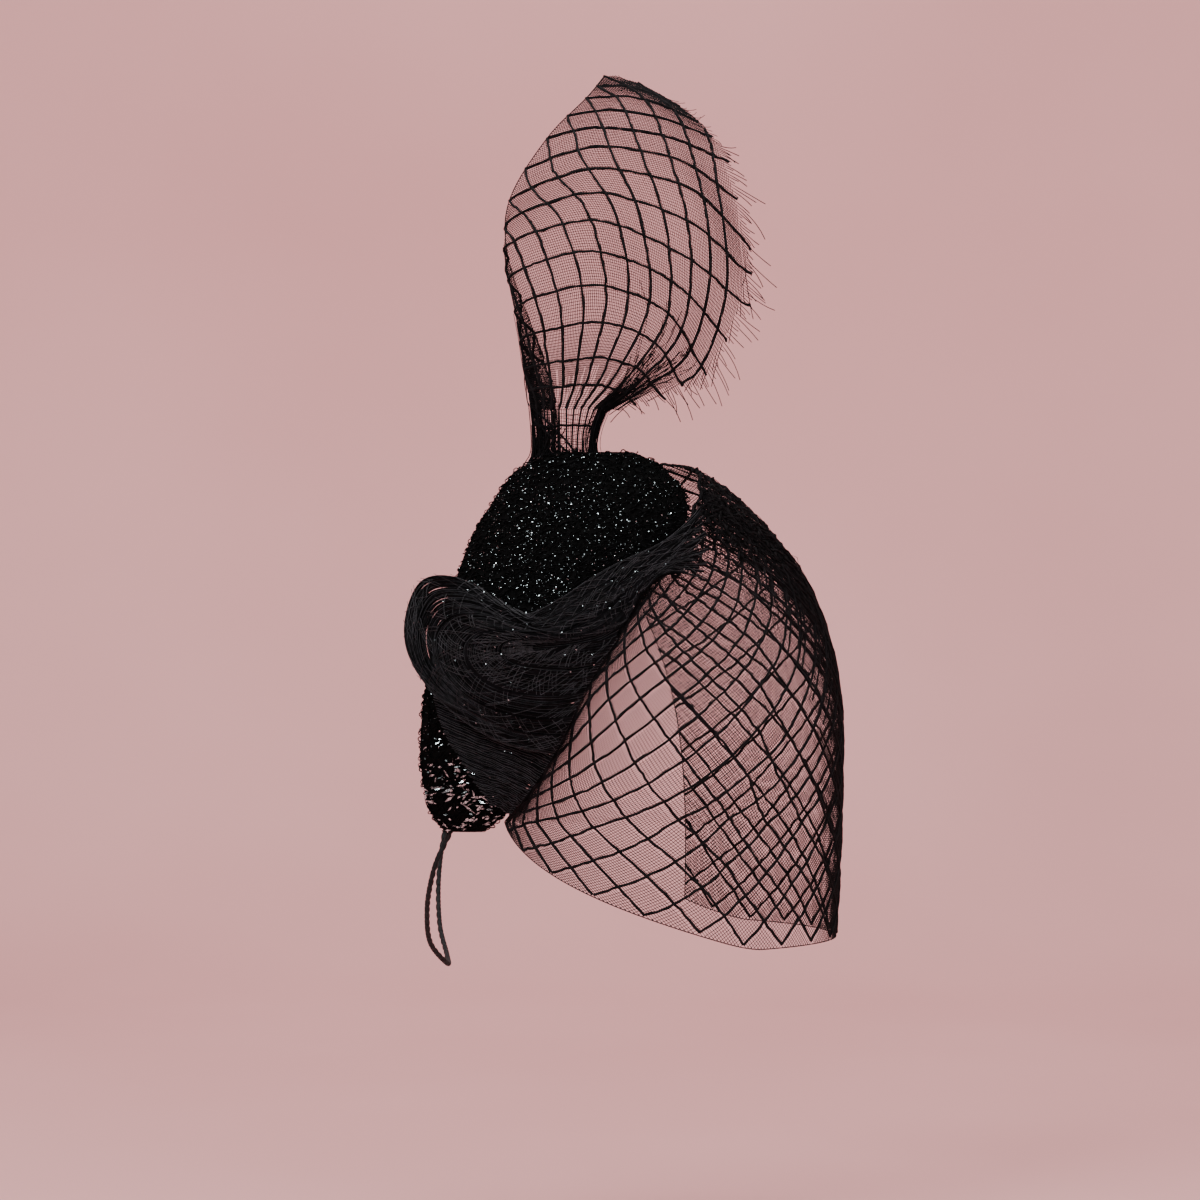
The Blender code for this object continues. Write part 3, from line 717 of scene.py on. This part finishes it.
def make_veil_rim(cloth, looks):
    """The gathered upper edge, drawn together into a twisted cord."""
    count = 420
    path, normals = cloth.at(np.linspace(0, cloth.width, count), np.full(count, cloth.height))
    smooth = at_lengths(path, np.linspace(0, 1, count))
    strands = Strands()
    tangent = unit(np.gradient(smooth, axis=0))
    side = unit(np.cross(tangent, normals))
    out = np.cross(side, tangent)
    run = run_length(smooth)
    for ply in range(3):
        angle = 2 * math.pi * (run / RIM_TWIST + ply / 3)
        wound = smooth + RIM_PLY * (side * np.cos(angle)[:, None] + out * np.sin(angle)[:, None])
        strands.tube(wound, out, RIM_PLY * (1 + 0.25 * waver(run, ply, 0.006)), sides=5)
    rim = strands.piece("veil_rim", looks["cord"])
    return rim


def plume_grid(table):
    columns = np.array(table).T
    rows = np.linspace(0, PLUME_ROWS[-1], 113)
    fine = np.array([hermite(PLUME_ROWS, column, rows) for column in columns]).T
    knots, shares = np.linspace(0, 1, len(columns)), np.linspace(0, 1, 91)
    return np.array([hermite(knots, row, shares) for row in fine])


def plume_origin():
    """The middle of the plume's foot, at its lower end, behind the base's top edge."""
    edge = base_point(FOOT_ACROSS, math.cos(BASE_BLUNT / 2) ** 2, -BASE_WALL)
    centre, half = base_level(0.93)
    back = edge[1] + FOOT_SET_BACK + FOOT_DEPTH / 2 + FOOT_FLUTE_DEPTH
    return np.array([centre + half * FOOT_ACROSS, back, edge[2] - FOOT_SINK])


def plume_cloth():
    """The plume's surface over shares of a row and rows of net cells."""
    start = plume_origin()
    points = np.stack(
        [
            start[0] + plume_grid(PLUME_ACROSS) * PLUME_WIDTH,
            start[1] + plume_grid(PLUME_BACK) * PLUME_CURL,
            start[2] + FOOT_HEIGHT + GAP + NET_WALL / 2 + plume_grid(PLUME_RISE) * PLUME_HEIGHT,
        ],
        axis=-1,
    )
    even = np.array([at_lengths(row, np.linspace(0, 1, points.shape[1])) for row in points])
    return Cloth(np.swapaxes(even, 0, 1), 1.0, PLUME_ROWS[-1])


def plume_width(row):
    return hermite(PLUME_ROWS, PLUME_CELLS, row)


def plume_line(column=None, row=None, step=0.3):
    """Flat places, share and row, along one cord of the plume, from its selvedge to its cut."""
    if column is None:
        count = max(3, int(plume_width(row) / step) + 1)
        return np.linspace(0, 1, count), np.full(count, row)
    rows = np.linspace(min(column, PLUME_ROWS[-1]), 0, 400)
    shares = (column - rows) / plume_width(rows)
    kept = (shares <= 1) & (shares >= 0)
    if kept.sum() < 3:
        return None
    first, last = rows[kept][0], rows[kept][-1]
    rows = np.linspace(first, last, max(3, int((first - last) / step) + 1))
    return (column - rows) / plume_width(rows), rows


def loose_end(points, rng, length, curl):
    """A thread's end past the cut edge: it keeps its way, bends and droops a little."""
    count = END_STEPS + 1
    way = unit(points[-1] - points[-2])
    turn = rng.normal(0, curl, 3)
    droop = np.array([0, 0, -0.10 * rng.random()])
    places = [points[-1]]
    for k in range(1, count):
        way = unit(way + (turn + droop) / count * k)
        places.append(places[-1] + way * length / (count - 1))
    return np.concatenate([points, np.array(places[1:])])


def plume_run(kind, place, is_cord, may_fold, rng):
    """Flat places along one strand of the plume, and whether it stops short of the foot's clear
    pane, as the threads do that are folded away into the gathers."""
    line = plume_line(**{kind: place}, step=0.16 if is_cord else 0.34)
    if line is None:
        return None
    share, row = line
    if is_cord and kind == "column" and np.ptp(row) < PLUME_SHORTEST:
        return None
    folded = may_fold and kind == "column" and not is_cord and 0.27 < share[-1] < 0.85
    if folded:
        kept = row > rng.uniform(0.2, 1.6)
        if kept.sum() < 3:
            return None
        share, row = share[kept], row[kept]
    return share, row, folded


def frayed(points, normals, is_cord, grazing, rng):
    """A strand with the loose end that it has where the net is cut. One that grazes the edge is
    cut shorter and curls more."""
    length = rng.uniform(0.001, 0.007) if is_cord else rng.gamma(2.6, 0.0040)
    length = min(length, PLUME_FRAY) * (0.35 if grazing else 1)
    points = loose_end(points, rng, length, 0.4 if is_cord or grazing else 0.07)
    return points, np.concatenate([normals, np.repeat(normals[-1:], END_STEPS, axis=0)])


def make_plume(looks):
    cloth = plume_cloth()
    rng = np.random.default_rng(5)
    coarse, fine = Strands(), Strands()
    top = PLUME_ROWS[-1]
    places = np.arange(1, PLUME_LAST * NET_THREADS) / NET_THREADS
    for i, place in enumerate(places):
        is_cord = i % NET_THREADS == NET_THREADS - 1
        for kind in ("row", "column"):
            if kind == "row" and place >= top:
                continue
            found = plume_run(kind, place, is_cord, i % 4 > 0, rng)
            if found is None:
                continue
            share, row, folded = found
            lift = (0.0002 if is_cord else 0.0001) * ripple(share * 9, row, i % 13, 2.1)
            points, normals = cloth.at(share, row, lift)
            cut = kind == "row" or row[-1] > 0.02 and not folded
            grazing = kind == "row" and place > 0.76 * top
            if cut:
                points, normals = frayed(points, normals, is_cord, grazing, rng)
            if is_cord:
                run = run_length(points)
                side = unit(np.cross(np.gradient(points, axis=0), normals))
                points = points + side * (0.00032 * waver(run, i, 0.010))[:, None]
                radii = CORD_RADIUS * (1 + 0.24 * waver(run, i, 0.0065))
                coarse.tube(points, normals, radii, sides=5)
            else:
                radii = np.full(len(points), PLUME_THREAD_RADIUS)
                radii[-END_STEPS:] *= 1.45 if cut and not grazing else 1
                fine.tube(points, normals, radii)
    edge_thread(fine, cloth, 0.001, np.linspace(0, top, 160), EDGE_RADIUS)
    net = fine.piece("plume_net", looks["thread"])
    cords = coarse.piece("plume_cords", looks["cord"])
    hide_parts("plume")
    foot = make_foot(looks, rng, cloth)


def foot_point(cloth, share, rise):
    """A point of the foot: the plume's net drawn together, from its lowest row at rise 1 down to
    the base at rise 0, where it spreads again over the base's edge."""
    start = plume_origin()
    top = cloth.at(share, np.zeros_like(share))[0]
    low = start + (top - start) * np.array([0.92, 0.55, 0.0])
    low[:, 2] = start[2] - 0.0006
    mixed = low + (top - low) * rise[:, None]
    drawn_in = np.where(mixed[:, 0] > start[0], 0.25, 0.05)
    neck = 1 - drawn_in * np.sin(math.pi * np.clip(rise, 0, 1) ** 0.8)
    neck = neck + 0.22 * np.exp(-((rise / 0.16) ** 2))
    mixed[:, 0] = start[0] + (mixed[:, 0] - start[0]) * neck
    return mixed


def foot_column(cloth, share):
    return foot_point(cloth, np.full(FOOT_COLUMN, share), np.linspace(0, 1, FOOT_COLUMN))


def foot_net(strands, cloth):
    """The foot's net: threads down and across it, cords down its clear pane, two crossing cords."""
    shares = np.linspace(0, 1, 46)
    for share in shares:
        strands.tube(foot_column(cloth, share), OUTWARD, PLUME_THREAD_RADIUS)
    for share in np.arange(4, 13) / PLUME_CELLS[0]:
        strands.tube(foot_column(cloth, share), OUTWARD, THIN_CORD, sides=5)
    for k, rise in enumerate(np.linspace(0.04, 0.98, 19)):
        points = foot_point(cloth, shares, rise + 0.03 * waver(shares, k, 0.4))
        strands.tube(points, OUTWARD, CORD_RADIUS if k % 9 == 4 else PLUME_THREAD_RADIUS)
    rises = np.linspace(0, 1, FOOT_COLUMN)
    for first, last in ((0.16, 0.78), (0.30, 0.86)):
        points = foot_point(cloth, first + (last - first) * rises, 1 - rises)
        strands.tube(points, OUTWARD, 0.8 * CORD_RADIUS, sides=5)


def foot_gathers(strands, cloth, rng):
    """Threads that run from the plume down its foot. Some hug the selvedge, and the others fan out
    toward the cut edge."""
    for k in range(FOOT_GATHERS):
        if rng.random() < 0.55:
            low, high = rng.uniform(0.0, 0.40), rng.uniform(0.0, 0.14)
            reach, sway = 4.0, 0.03
        else:
            low, high = 1 - 0.11 * rng.beta(1.2, 1.6), 1 - 0.45 * rng.random()
            reach, sway = 4.8, 0.015
        rows = np.linspace(0.01, rng.uniform(0.3, reach), 14)
        drift = low + (high - low) * rows / reach
        drift = drift + sway * waver(rows, 60 + k, 3.0)
        below = foot_column(cloth, drift[0])
        above, normals = cloth.at(np.clip(drift, 0.0, 1.0), rows)
        shift = rng.normal(0, 0.0009, 3)
        points = np.concatenate([below, above])
        points = points + shift * np.linspace(1.2, 0.4, len(points))[:, None]
        turned = np.concatenate([np.repeat(normals[:1], FOOT_COLUMN, axis=0), normals])
        strands.tube(points, turned, rng.uniform(0.00011, 0.00020))


def foot_frays(strands, cloth, rng):
    """Short cut threads where the foot meets the base."""
    for _ in range(FOOT_FRAYS):
        share = rng.uniform(0.08, 0.97)
        rise = np.linspace(0, rng.uniform(0.10, 0.36 + 0.4 * (share < 0.35)), 8)
        points = foot_point(cloth, share + rng.normal(0, 0.25) * rise, rise)
        points = points + rng.normal(0, 0.0011, 3) * np.array([1, 1, 0])
        strands.tube(points, OUTWARD, rng.uniform(0.00016, 0.0003))


def make_foot(looks, rng, cloth):
    """The plume's foot: its net runs down to the base, in dense gathers at both sides and as a
    clear pane between them."""
    strands = Strands()
    foot_net(strands, cloth)
    foot_gathers(strands, cloth, rng)
    foot_frays(strands, cloth, rng)
    foot = strands.piece("plume_foot_net", looks["pleats"])
    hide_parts("plume_foot")
    return foot


def drape_cloth():
    along, across_share = np.linspace(0, 1, 281), np.linspace(0, 1, 121)
    edges = ("outer", "middle", "inner")
    curves = (
        np.array([spread(DRAPE_TABLE[f"{edge}_{name}"], along) for edge in edges])
        for name in ("across", "rise", "lift")
    )
    across, rise, lift = (
        np.array([spread(section, across_share) for section in values.T]) for values in curves
    )
    return Cloth(base_point(across, rise, DRAPE_LIFT * lift), 1.0, 1.0)


def fan_cloth():
    along, shares = np.linspace(0, 1, 81), np.linspace(0, 1, 61)
    curves = {name: spread(values, along)[:, None] for name, values in FAN_TABLE.items()}
    across = curves["back_across"] * (1 - shares) + curves["front_across"] * shares
    rise = curves["back_rise"] * (1 - shares) + curves["front_rise"] * shares
    lift = np.broadcast_to(FAN_LIFT * curves["lift"], across.shape)
    return Cloth(base_point(across, rise, lift), 1.0, 1.0)


def pleat_strips(strands, lines, cloth, count, layers, seed, lengthwise=True, ragged=0.0):
    """Knife pleats of fine net: narrow strips that stand side by side, in a few loose layers, with
    a thread along each strip's outer edge."""
    rng = np.random.default_rng(seed)
    for layer in range(layers):
        for k in range(count):
            line = np.linspace(ragged * rng.random() ** 1.5, 1, PLEAT_STEPS)
            place = (k + 0.5 + rng.normal(0, 0.2)) / count
            wander = place + 0.014 * ripple(line, place, seed + layer, 0.7)
            wander = wander + 0.005 * waver(line, 50 + k, 0.25)
            wander = np.clip(wander, 0.002, 0.998)
            pair = (line, wander) if lengthwise else (wander, line)
            lift = (layer - (layers - 1) / 2) * LAYER_GAP + 0.0005 * ripple(line, wander, k, 0.4)
            centre, normals = cloth.at(*pair)
            centre = centre + normals * lift[:, None]
            way = unit(np.gradient(centre, axis=0))
            side = np.cross(way, normals)
            turn = PLEAT_TURN + PLEAT_TURN_CHANGE * ripple(line, wander, k + 90, 0.8)
            turn = (turn * (1 if layer % 2 else -1))[:, None]
            across = normals * np.sin(turn) + side * np.cos(turn)
            half = PLEAT_DEPTH * (1 + 0.35 * ripple(line, wander, k + 40, 0.6))[:, None] / 2
            strands.strip(centre - across * half, centre + across * half)
            # The edge thread goes into the lighter piece: real fine net, but its lighter tone is a painted
            # sheen along the pleat's edge
            lines.tube(centre + across * half, normals, rng.uniform(0.00008, 0.00015))


def hatch(strands, cloth, size, seed, ragged=0.0):
    """Short threads of fine net over a cloth, at 45 degrees. size is the cloth's own size, so that
    the threads stay evenly spaced."""
    rng = np.random.default_rng(seed)
    for start in np.arange(-size[1], size[0], HATCH_PITCH * math.sqrt(2)):
        for sign in (1, -1):
            up = np.linspace(0, size[1], HATCH_STEPS)
            along = start + (up if sign > 0 else size[1] - up)
            along = along + 0.0006 * waver(up, int(rng.integers(1000)), 0.03)
            first = ragged * size[0] * rng.random()
            shown = ripple(up, along, seed + int(rng.integers(50)), 0.02) > -0.15
            for part in np.array_split(np.arange(HATCH_STEPS), HATCH_PARTS):
                kept = part[(along[part] > first) & (along[part] < size[0]) & shown[part]]
                if len(kept) < 4 or np.any(np.diff(kept) > 1):
                    continue
                radius = rng.uniform(0.00008, 0.00013)
                strands.lay(cloth, along[kept] / size[0], up[kept] / size[1], radius, HATCH_LIFT)


def close_fold(strands, lines, cloth):
    """The net between the drape's upper and lower halves, where they meet over the base."""
    share = np.linspace(0, 1, 60)
    across = np.full(60, CLOSE_ACROSS)
    upper = cloth.at(CLOSE_FROM - CLOSE_BACK * share, across, -CLOSE_SINK)[0]
    lower = cloth.at(CLOSE_FROM + CLOSE_ON * share, across, -CLOSE_SINK)[0]
    rows = [upper + (lower - upper) * mix for mix in np.linspace(0, 1, 9)]
    for one, other in zip(rows, rows[1:]):
        strands.strip(one, other)
        lines.tube(one + 0.0004 * OUTWARD, OUTWARD, 0.0001)


def make_drape(looks):
    cloth = drape_cloth()
    strands, lines = Strands(), Strands()
    pleat_strips(strands, lines, cloth, 50, 3, 21, ragged=0.10)
    close_fold(strands, lines, cloth)
    hatch(lines, cloth, (0.250, 0.060), 22, ragged=0.05)
    drape = strands.piece("drape_pleats", looks["pleats"])
    # The pleats' edge threads, the closed fold's lines and the hatching: real threads of fine net, made
    # lighter than the pleats as a painted sheen
    net = lines.piece("drape_net_painted_sheen", looks["painted_sheen_net"])
    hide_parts("side_drape")


def make_fan(looks):
    strands, lines = Strands(), Strands()
    pleat_strips(strands, lines, fan_cloth(), 44, 2, 31, lengthwise=False)
    fan = strands.piece("fan_pleats", looks["pleats"])
    # The fan's edge threads: real fine net, made lighter than the pleats as a painted sheen
    net = lines.piece("fan_net_painted_sheen", looks["painted_sheen_net"])
    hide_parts("lower_fan")


def base_places(rng):
    """Places on the base, in slanted rows, as across and rise."""
    lowest, highest = math.sin(BASE_BLUNT / 2) ** 2, math.cos(BASE_BLUNT / 2) ** 2
    across, rise = [], []
    rows = int(BASE_HEIGHT / LOOP_ROW)
    for row in range(-SPARE_ROWS, rows + SPARE_ROWS):
        level = (row + 0.5) / rows
        xs = np.arange(-ROW_HALF, ROW_HALF, LOOP_PITCH) + (row % 2) * LOOP_PITCH / 2
        ys = level + LOOP_SLOPE * xs / BASE_HEIGHT
        centre, halves = base_level(np.clip(ys, 0.0, 1.0))
        u = (xs + rng.normal(0, LOOP_JITTER, len(xs)) - centre) / np.maximum(halves, 1e-6)
        ys = ys + rng.normal(0, LOOP_JITTER, len(xs)) / BASE_HEIGHT
        kept = (np.abs(u) < 1) & (ys > lowest) & (ys < highest)
        across.append(u[kept])
        rise.append(ys[kept])
    return np.concatenate(across), np.concatenate(rise)


def rim_loops(strands, rng):
    """Loops of yarn that stick out of the base's edge."""
    for _ in range(RIM_LOOPS):
        rise, side = rng.uniform(0.012, 0.985), rng.choice([-1, 1])
        centre = base_point(RIM_ACROSS * side, rise, rng.uniform(-0.0012, 0.0004))
        along, up, out = base_frame(RIM_ACROSS * side, rise)
        away = unit(along * side + out * rng.normal(0, 0.4) + up * rng.normal(0, 0.3))
        height, half = rng.uniform(0.0006, 0.0016), rng.uniform(0.0006, 0.0013)
        points = centre + np.outer(LOOP_WALK * half, up) + np.outer(LOOP_BEND * height, away)
        strands.tube(points, out, RIM_LOOP_RADIUS * rng.uniform(0.7, 1.3))


def make_crochet(looks):
    """Crochet of tinsel yarn: thousands of small loops in slanted rows."""
    rng = np.random.default_rng(9)
    across, rise = base_places(rng)
    along, up, out = base_frame(across, rise)
    foot = base_point(across, rise, 0.0)
    strands = Strands()
    for k in range(len(across)):
        turn = rng.normal(0.42, 0.55)
        way = along[k] * math.cos(turn) + up[k] * math.sin(turn)
        side = np.cross(out[k], way)
        height, half = rng.uniform(0.0005, 0.0011), rng.uniform(0.0009, 0.0015)
        sway = rng.normal(0, 0.0004) * np.array([0, 1, 1.3, 1, 0])
        points = foot[k] + np.outer(LOOP_WALK * half, way) + np.outer(LOOP_BEND * height, out[k])
        points = points + np.outer(sway, side)
        strands.tube(points, side, LOOP_RADIUS * rng.uniform(0.7, 1.3))
    rim_loops(strands, rng)
    crochet = strands.piece("base_crochet", looks["tinsel"])


def facet(strands, place, long_way, short_way, other_way):
    """A small face with four corners round a place."""
    corners = (place - long_way, place - short_way, place + long_way, place + other_way)
    strands.add(np.array(corners), np.array([[0, 1, 2, 3]]))


def base_glints(strands, rng):
    """Facets on the base: denser above the drape, larger and fewer at its tip."""
    u, v = rng.uniform(-1, 1, BASE_GLINTS), rng.uniform(0.015, 0.985, BASE_GLINTS)
    half = base_level(v)[1]
    upper = np.clip((v - 0.25) / 0.2, 0, 1)
    kept = rng.random(BASE_GLINTS) < half / half.max() * (0.36 + upper * (0.39 - 0.40 * u))
    u, v = u[kept], v[kept]
    along, up, out = base_frame(u, v)
    low = np.clip((0.30 - v) / 0.2, 0, 1)
    size = (0.00009 + 0.00015 * rng.random(len(u)) ** 2) * (1 + 2.2 * low)
    centre = base_point(u, v, 0.0007 + 0.0005 * rng.random(len(u)))
    for k in range(len(u)):
        tilt = unit(out[k] + rng.normal(0, 0.42) * along[k] + rng.normal(0, 0.42) * up[k])
        turn = rng.normal(0.3, 0.6)
        way = along[k] * math.cos(turn) + up[k] * math.sin(turn)
        way = unit(np.cross(np.cross(tilt, way), tilt))
        side = np.cross(tilt, way)
        a = way * size[k] * rng.uniform(1.2, 2.0 + 3.0 * low[k])
        b = side * size[k] * 0.9
        facet(strands, centre[k], a, b * 0.9, b)


def drape_glints(strands, rng):
    """Facets that catch the light through the drape."""
    cloth = drape_cloth()
    shares = rng.uniform(0.04, 0.96, (DRAPE_GLINTS, 2))
    places, normals = cloth.at(shares[:, 0], shares[:, 1], 0.0016)
    for place, normal in zip(places, normals):
        tilt = unit(normal + rng.normal(0, 0.4, 3))
        way = unit(np.cross(tilt, rng.normal(0, 1, 3)))
        a = way * rng.uniform(0.0002, 0.0005)
        b = np.cross(tilt, way) * rng.uniform(0.0001, 0.00022)
        facet(strands, place, a, b, b)


def make_glints(looks):
    """Small bright facets of the tinsel and beads, each turned its own way."""
    rng = np.random.default_rng(10)
    strands = Strands()
    base_glints(strands, rng)
    drape_glints(strands, rng)
    glints = strands.piece("base_glints", looks["glint"])
    glints.data.shade_flat()


def make_elastic(looks):
    """The elastic: a round tube along the cord's route, with the relief of a plait."""
    ends = [
        base_point(*place, -(BASE_WALL + 2 * GAP + ELASTIC_DIAMETER / 2))
        for place in (ELASTIC_NEAR, ELASTIC_FAR)
    ]
    route = np.array([ends[0], *ELASTIC_ROUTE, ends[1]])
    length = run_length(route)
    places = np.linspace(0, length[-1], 700)
    path = np.stack([hermite(length, route[:, k], places) for k in range(3)], axis=-1)
    tangent = unit(np.gradient(path, axis=0))
    side = unit(np.cross(tangent, [0.0, -1.0, 0.25]))
    out = np.cross(side, tangent)
    run = run_length(path)
    strands = Strands()
    strands.tube(path, out, ELASTIC_DIAMETER / 2, sides=PLAIT_SIDES)
    ring = np.tile(2 * math.pi * np.arange(PLAIT_SIDES) / PLAIT_SIDES, len(path))
    turn = 2 * math.pi * np.repeat(run, PLAIT_SIDES) / PLAIT_PITCH
    bump = np.maximum(np.cos(1.5 * ring + turn), np.cos(1.5 * ring - turn + 1.5))
    centre = np.repeat(path, PLAIT_SIDES, axis=0)
    surface = strands.vertices[0]
    relief = 1 - PLAIT_RELIEF + PLAIT_RELIEF * bump
    strands.vertices[0] = centre + (surface - centre) * relief[:, None]
    elastic = strands.piece("elastic_plait", looks["elastic"])
    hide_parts("elastic_cord")


def new_material(name):
    made = bpy.data.materials.new(name)
    made.use_nodes = True
    return made, made.node_tree, made.node_tree.nodes["Principled BSDF"]


def set_values(node, values):
    for name, value in values.items():
        node.inputs[name].default_value = value


def add_noise(tree, place, scale, detail):
    """Noise that is fixed to the piece's own places."""
    noise = tree.nodes.new("ShaderNodeTexNoise")
    set_values(noise, {"Scale": scale, "Detail": detail})
    tree.links.new(place.outputs["Object"], noise.inputs["Vector"])
    return noise


def speckle(tree, shader, scale, low, high, detail=3.0):
    """Colour that varies with the place on the piece, between two tones."""
    place = tree.nodes.new("ShaderNodeTexCoord")
    noise = add_noise(tree, place, scale, detail)
    ramp = tree.nodes.new("ShaderNodeValToRGB")
    for end, position, tone in zip(ramp.color_ramp.elements, (0.35, 0.70), (low, high)):
        end.position = position
        end.color = (*tone, 1)
    tree.links.new(noise.outputs["Fac"], ramp.inputs["Fac"])
    tree.links.new(ramp.outputs["Color"], shader.inputs["Base Color"])
    return place


def grain(tree, shader, place, scale, strength, distance):
    """Fine roughness of the surface."""
    noise = add_noise(tree, place, scale, 4)
    bump = tree.nodes.new("ShaderNodeBump")
    set_values(bump, {"Strength": strength, "Distance": distance})
    tree.links.new(noise.outputs["Fac"], bump.inputs["Height"])
    tree.links.new(bump.outputs["Normal"], shader.inputs["Normal"])


def yarn(name, low, high, roughness, sheen, specular=0.06):
    made, tree, shader = new_material(name)
    place = speckle(tree, shader, 420, low, high)
    grain(tree, shader, place, 2600, 0.5, 0.0004)
    set_values(shader, {"Roughness": roughness, "Specular IOR Level": specular})
    set_values(shader, {"Sheen Weight": sheen, "Sheen Roughness": 0.5})
    return made


def tinsel():
    made, tree, shader = new_material("tinsel_yarn")
    place = speckle(tree, shader, 900, (0.0008, 0.0008, 0.001), (0.0035, 0.003, 0.0035))
    grain(tree, shader, place, 3000, 0.5, 0.0003)
    set_values(shader, {"Roughness": 0.42, "Specular IOR Level": 0.035})
    return made


def glint():
    made, tree, shader = new_material("bright_facets")
    speckle(tree, shader, 1900, (0.03, 0.035, 0.04), (0.80, 0.93, 0.96), 1.0)
    set_values(shader, {"Metallic": 1.0, "Roughness": 0.22})
    return made


def make_looks():
    return {
        "cord": yarn("net_cord", (0.0030, 0.0026, 0.0030), (0.010, 0.009, 0.010), 0.85, 0.02),
        "thread": yarn("net_thread", (0.003, 0.0025, 0.003), (0.010, 0.008, 0.009), 0.7, 0.01),
        "pleats": yarn("pleated_net", (0.0014, 0.0012, 0.0016), (0.0060, 0.0055, 0.0070), 0.7, 0.01),
        # Fine net over the drape and fan and along the pleats' edges: the same black net as the pleats,
        # several times lighter, a painted sheen
        "painted_sheen_net": yarn("drape_net_painted_sheen", (0.006, 0.0055, 0.007), (0.040, 0.037, 0.045), 0.5, 0.04, 0.3),
        "elastic": yarn("elastic", (0.003, 0.003, 0.0035), (0.011, 0.011, 0.012), 0.65, 0.04, 0.15),
        "tinsel": tinsel(),
        "glint": glint(),
        "buckram": yarn("buckram", (0.001, 0.001, 0.001), (0.003, 0.003, 0.003), 0.8, 0.0, 0.03),
    }


def make_stage():
    """A plain pale floor that sweeps up into a backdrop."""
    profile = [(-FLOOR_REACH, FLOOR_LEVEL), (SWEEP_START, FLOOR_LEVEL)]
    for k in range(1, SWEEP_STEPS + 1):
        angle = math.radians(90 * k / SWEEP_STEPS)
        back = SWEEP_START + SWEEP_RADIUS * math.sin(angle)
        profile.append((back, FLOOR_LEVEL + SWEEP_RADIUS * (1 - math.cos(angle))))
    profile.append((SWEEP_START + SWEEP_RADIUS, BACKDROP_TOP))
    vertices = [(x, y, z) for y, z in profile for x in (-FLOOR_REACH, FLOOR_REACH)]
    faces = [(2 * k, 2 * k + 1, 2 * k + 3, 2 * k + 2) for k in range(len(profile) - 1)]
    data = bpy.data.meshes.new("sweep")
    data.from_pydata(vertices, [], faces)
    data.shade_smooth()
    sweep = add_object("sweep", data)
    made, tree, shader = new_material("pale_paper")
    speckle(tree, shader, 2.2, (0.64, 0.315, 0.31), (0.69, 0.35, 0.345))
    set_values(shader, {"Roughness": 0.95})
    data.materials.append(made)


def area_light(name, place, aim, size, power):
    lamp = bpy.data.lights.new(name, "AREA")
    lamp.shape = "DISK"
    lamp.size = size
    lamp.energy = power
    made = add_object(name, lamp)
    made.location = place
    way = Vector(aim) - Vector(place)
    made.rotation_euler = way.to_track_quat("-Z", "Y").to_euler()


def make_light():
    middle = (0.04, 0.07, 0.06)
    area_light("key", (-1.1, -1.5, 1.3), middle, 0.9, 27)
    area_light("front", (0.25, -2.7, 0.9), middle, 1.5, 14)
    area_light("fill", (1.5, -1.1, 0.7), middle, 1.2, 12)
    area_light("top", (0.1, 0.3, 1.7), middle, 1.0, 14)
    area_light("spark", (-0.5, -1.6, 0.25), middle, 0.10, 4)
    area_light("backdrop", (0.0, -0.3, 2.1), (0.0, 1.3, 0.3), 1.5, 30)
    world = bpy.data.worlds.new("studio")
    world.use_nodes = True
    background = world.node_tree.nodes["Background"]
    set_values(background, {"Color": (0.9, 0.86, 0.85, 1), "Strength": 0.35})
    bpy.context.scene.world = world


def make_camera():
    data = bpy.data.cameras.new("camera")
    data.lens = CAMERA_LENS
    data.sensor_width = CAMERA_SENSOR
    camera = add_object("camera", data)
    camera.location = np.array(CAMERA_PLACE) + HEAD
    camera.rotation_euler = (math.radians(90), 0, 0)
    bpy.context.scene.camera = camera


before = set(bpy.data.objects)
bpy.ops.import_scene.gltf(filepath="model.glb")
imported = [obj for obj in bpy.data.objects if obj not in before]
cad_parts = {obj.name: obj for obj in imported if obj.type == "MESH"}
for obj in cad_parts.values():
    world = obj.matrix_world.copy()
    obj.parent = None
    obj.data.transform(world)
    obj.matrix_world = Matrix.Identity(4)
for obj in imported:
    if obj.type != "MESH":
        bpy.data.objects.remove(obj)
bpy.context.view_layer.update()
make_camera()
looks = make_looks()
make_elastic(looks)
make_stage()
make_light()
base = bpy.data.objects["base_shell"]
base.data.materials.clear()
base.data.materials.append(looks["buckram"])
make_crochet(looks)
make_glints(looks)
make_veil(looks)
make_drape(looks)
make_fan(looks)
make_plume(looks)
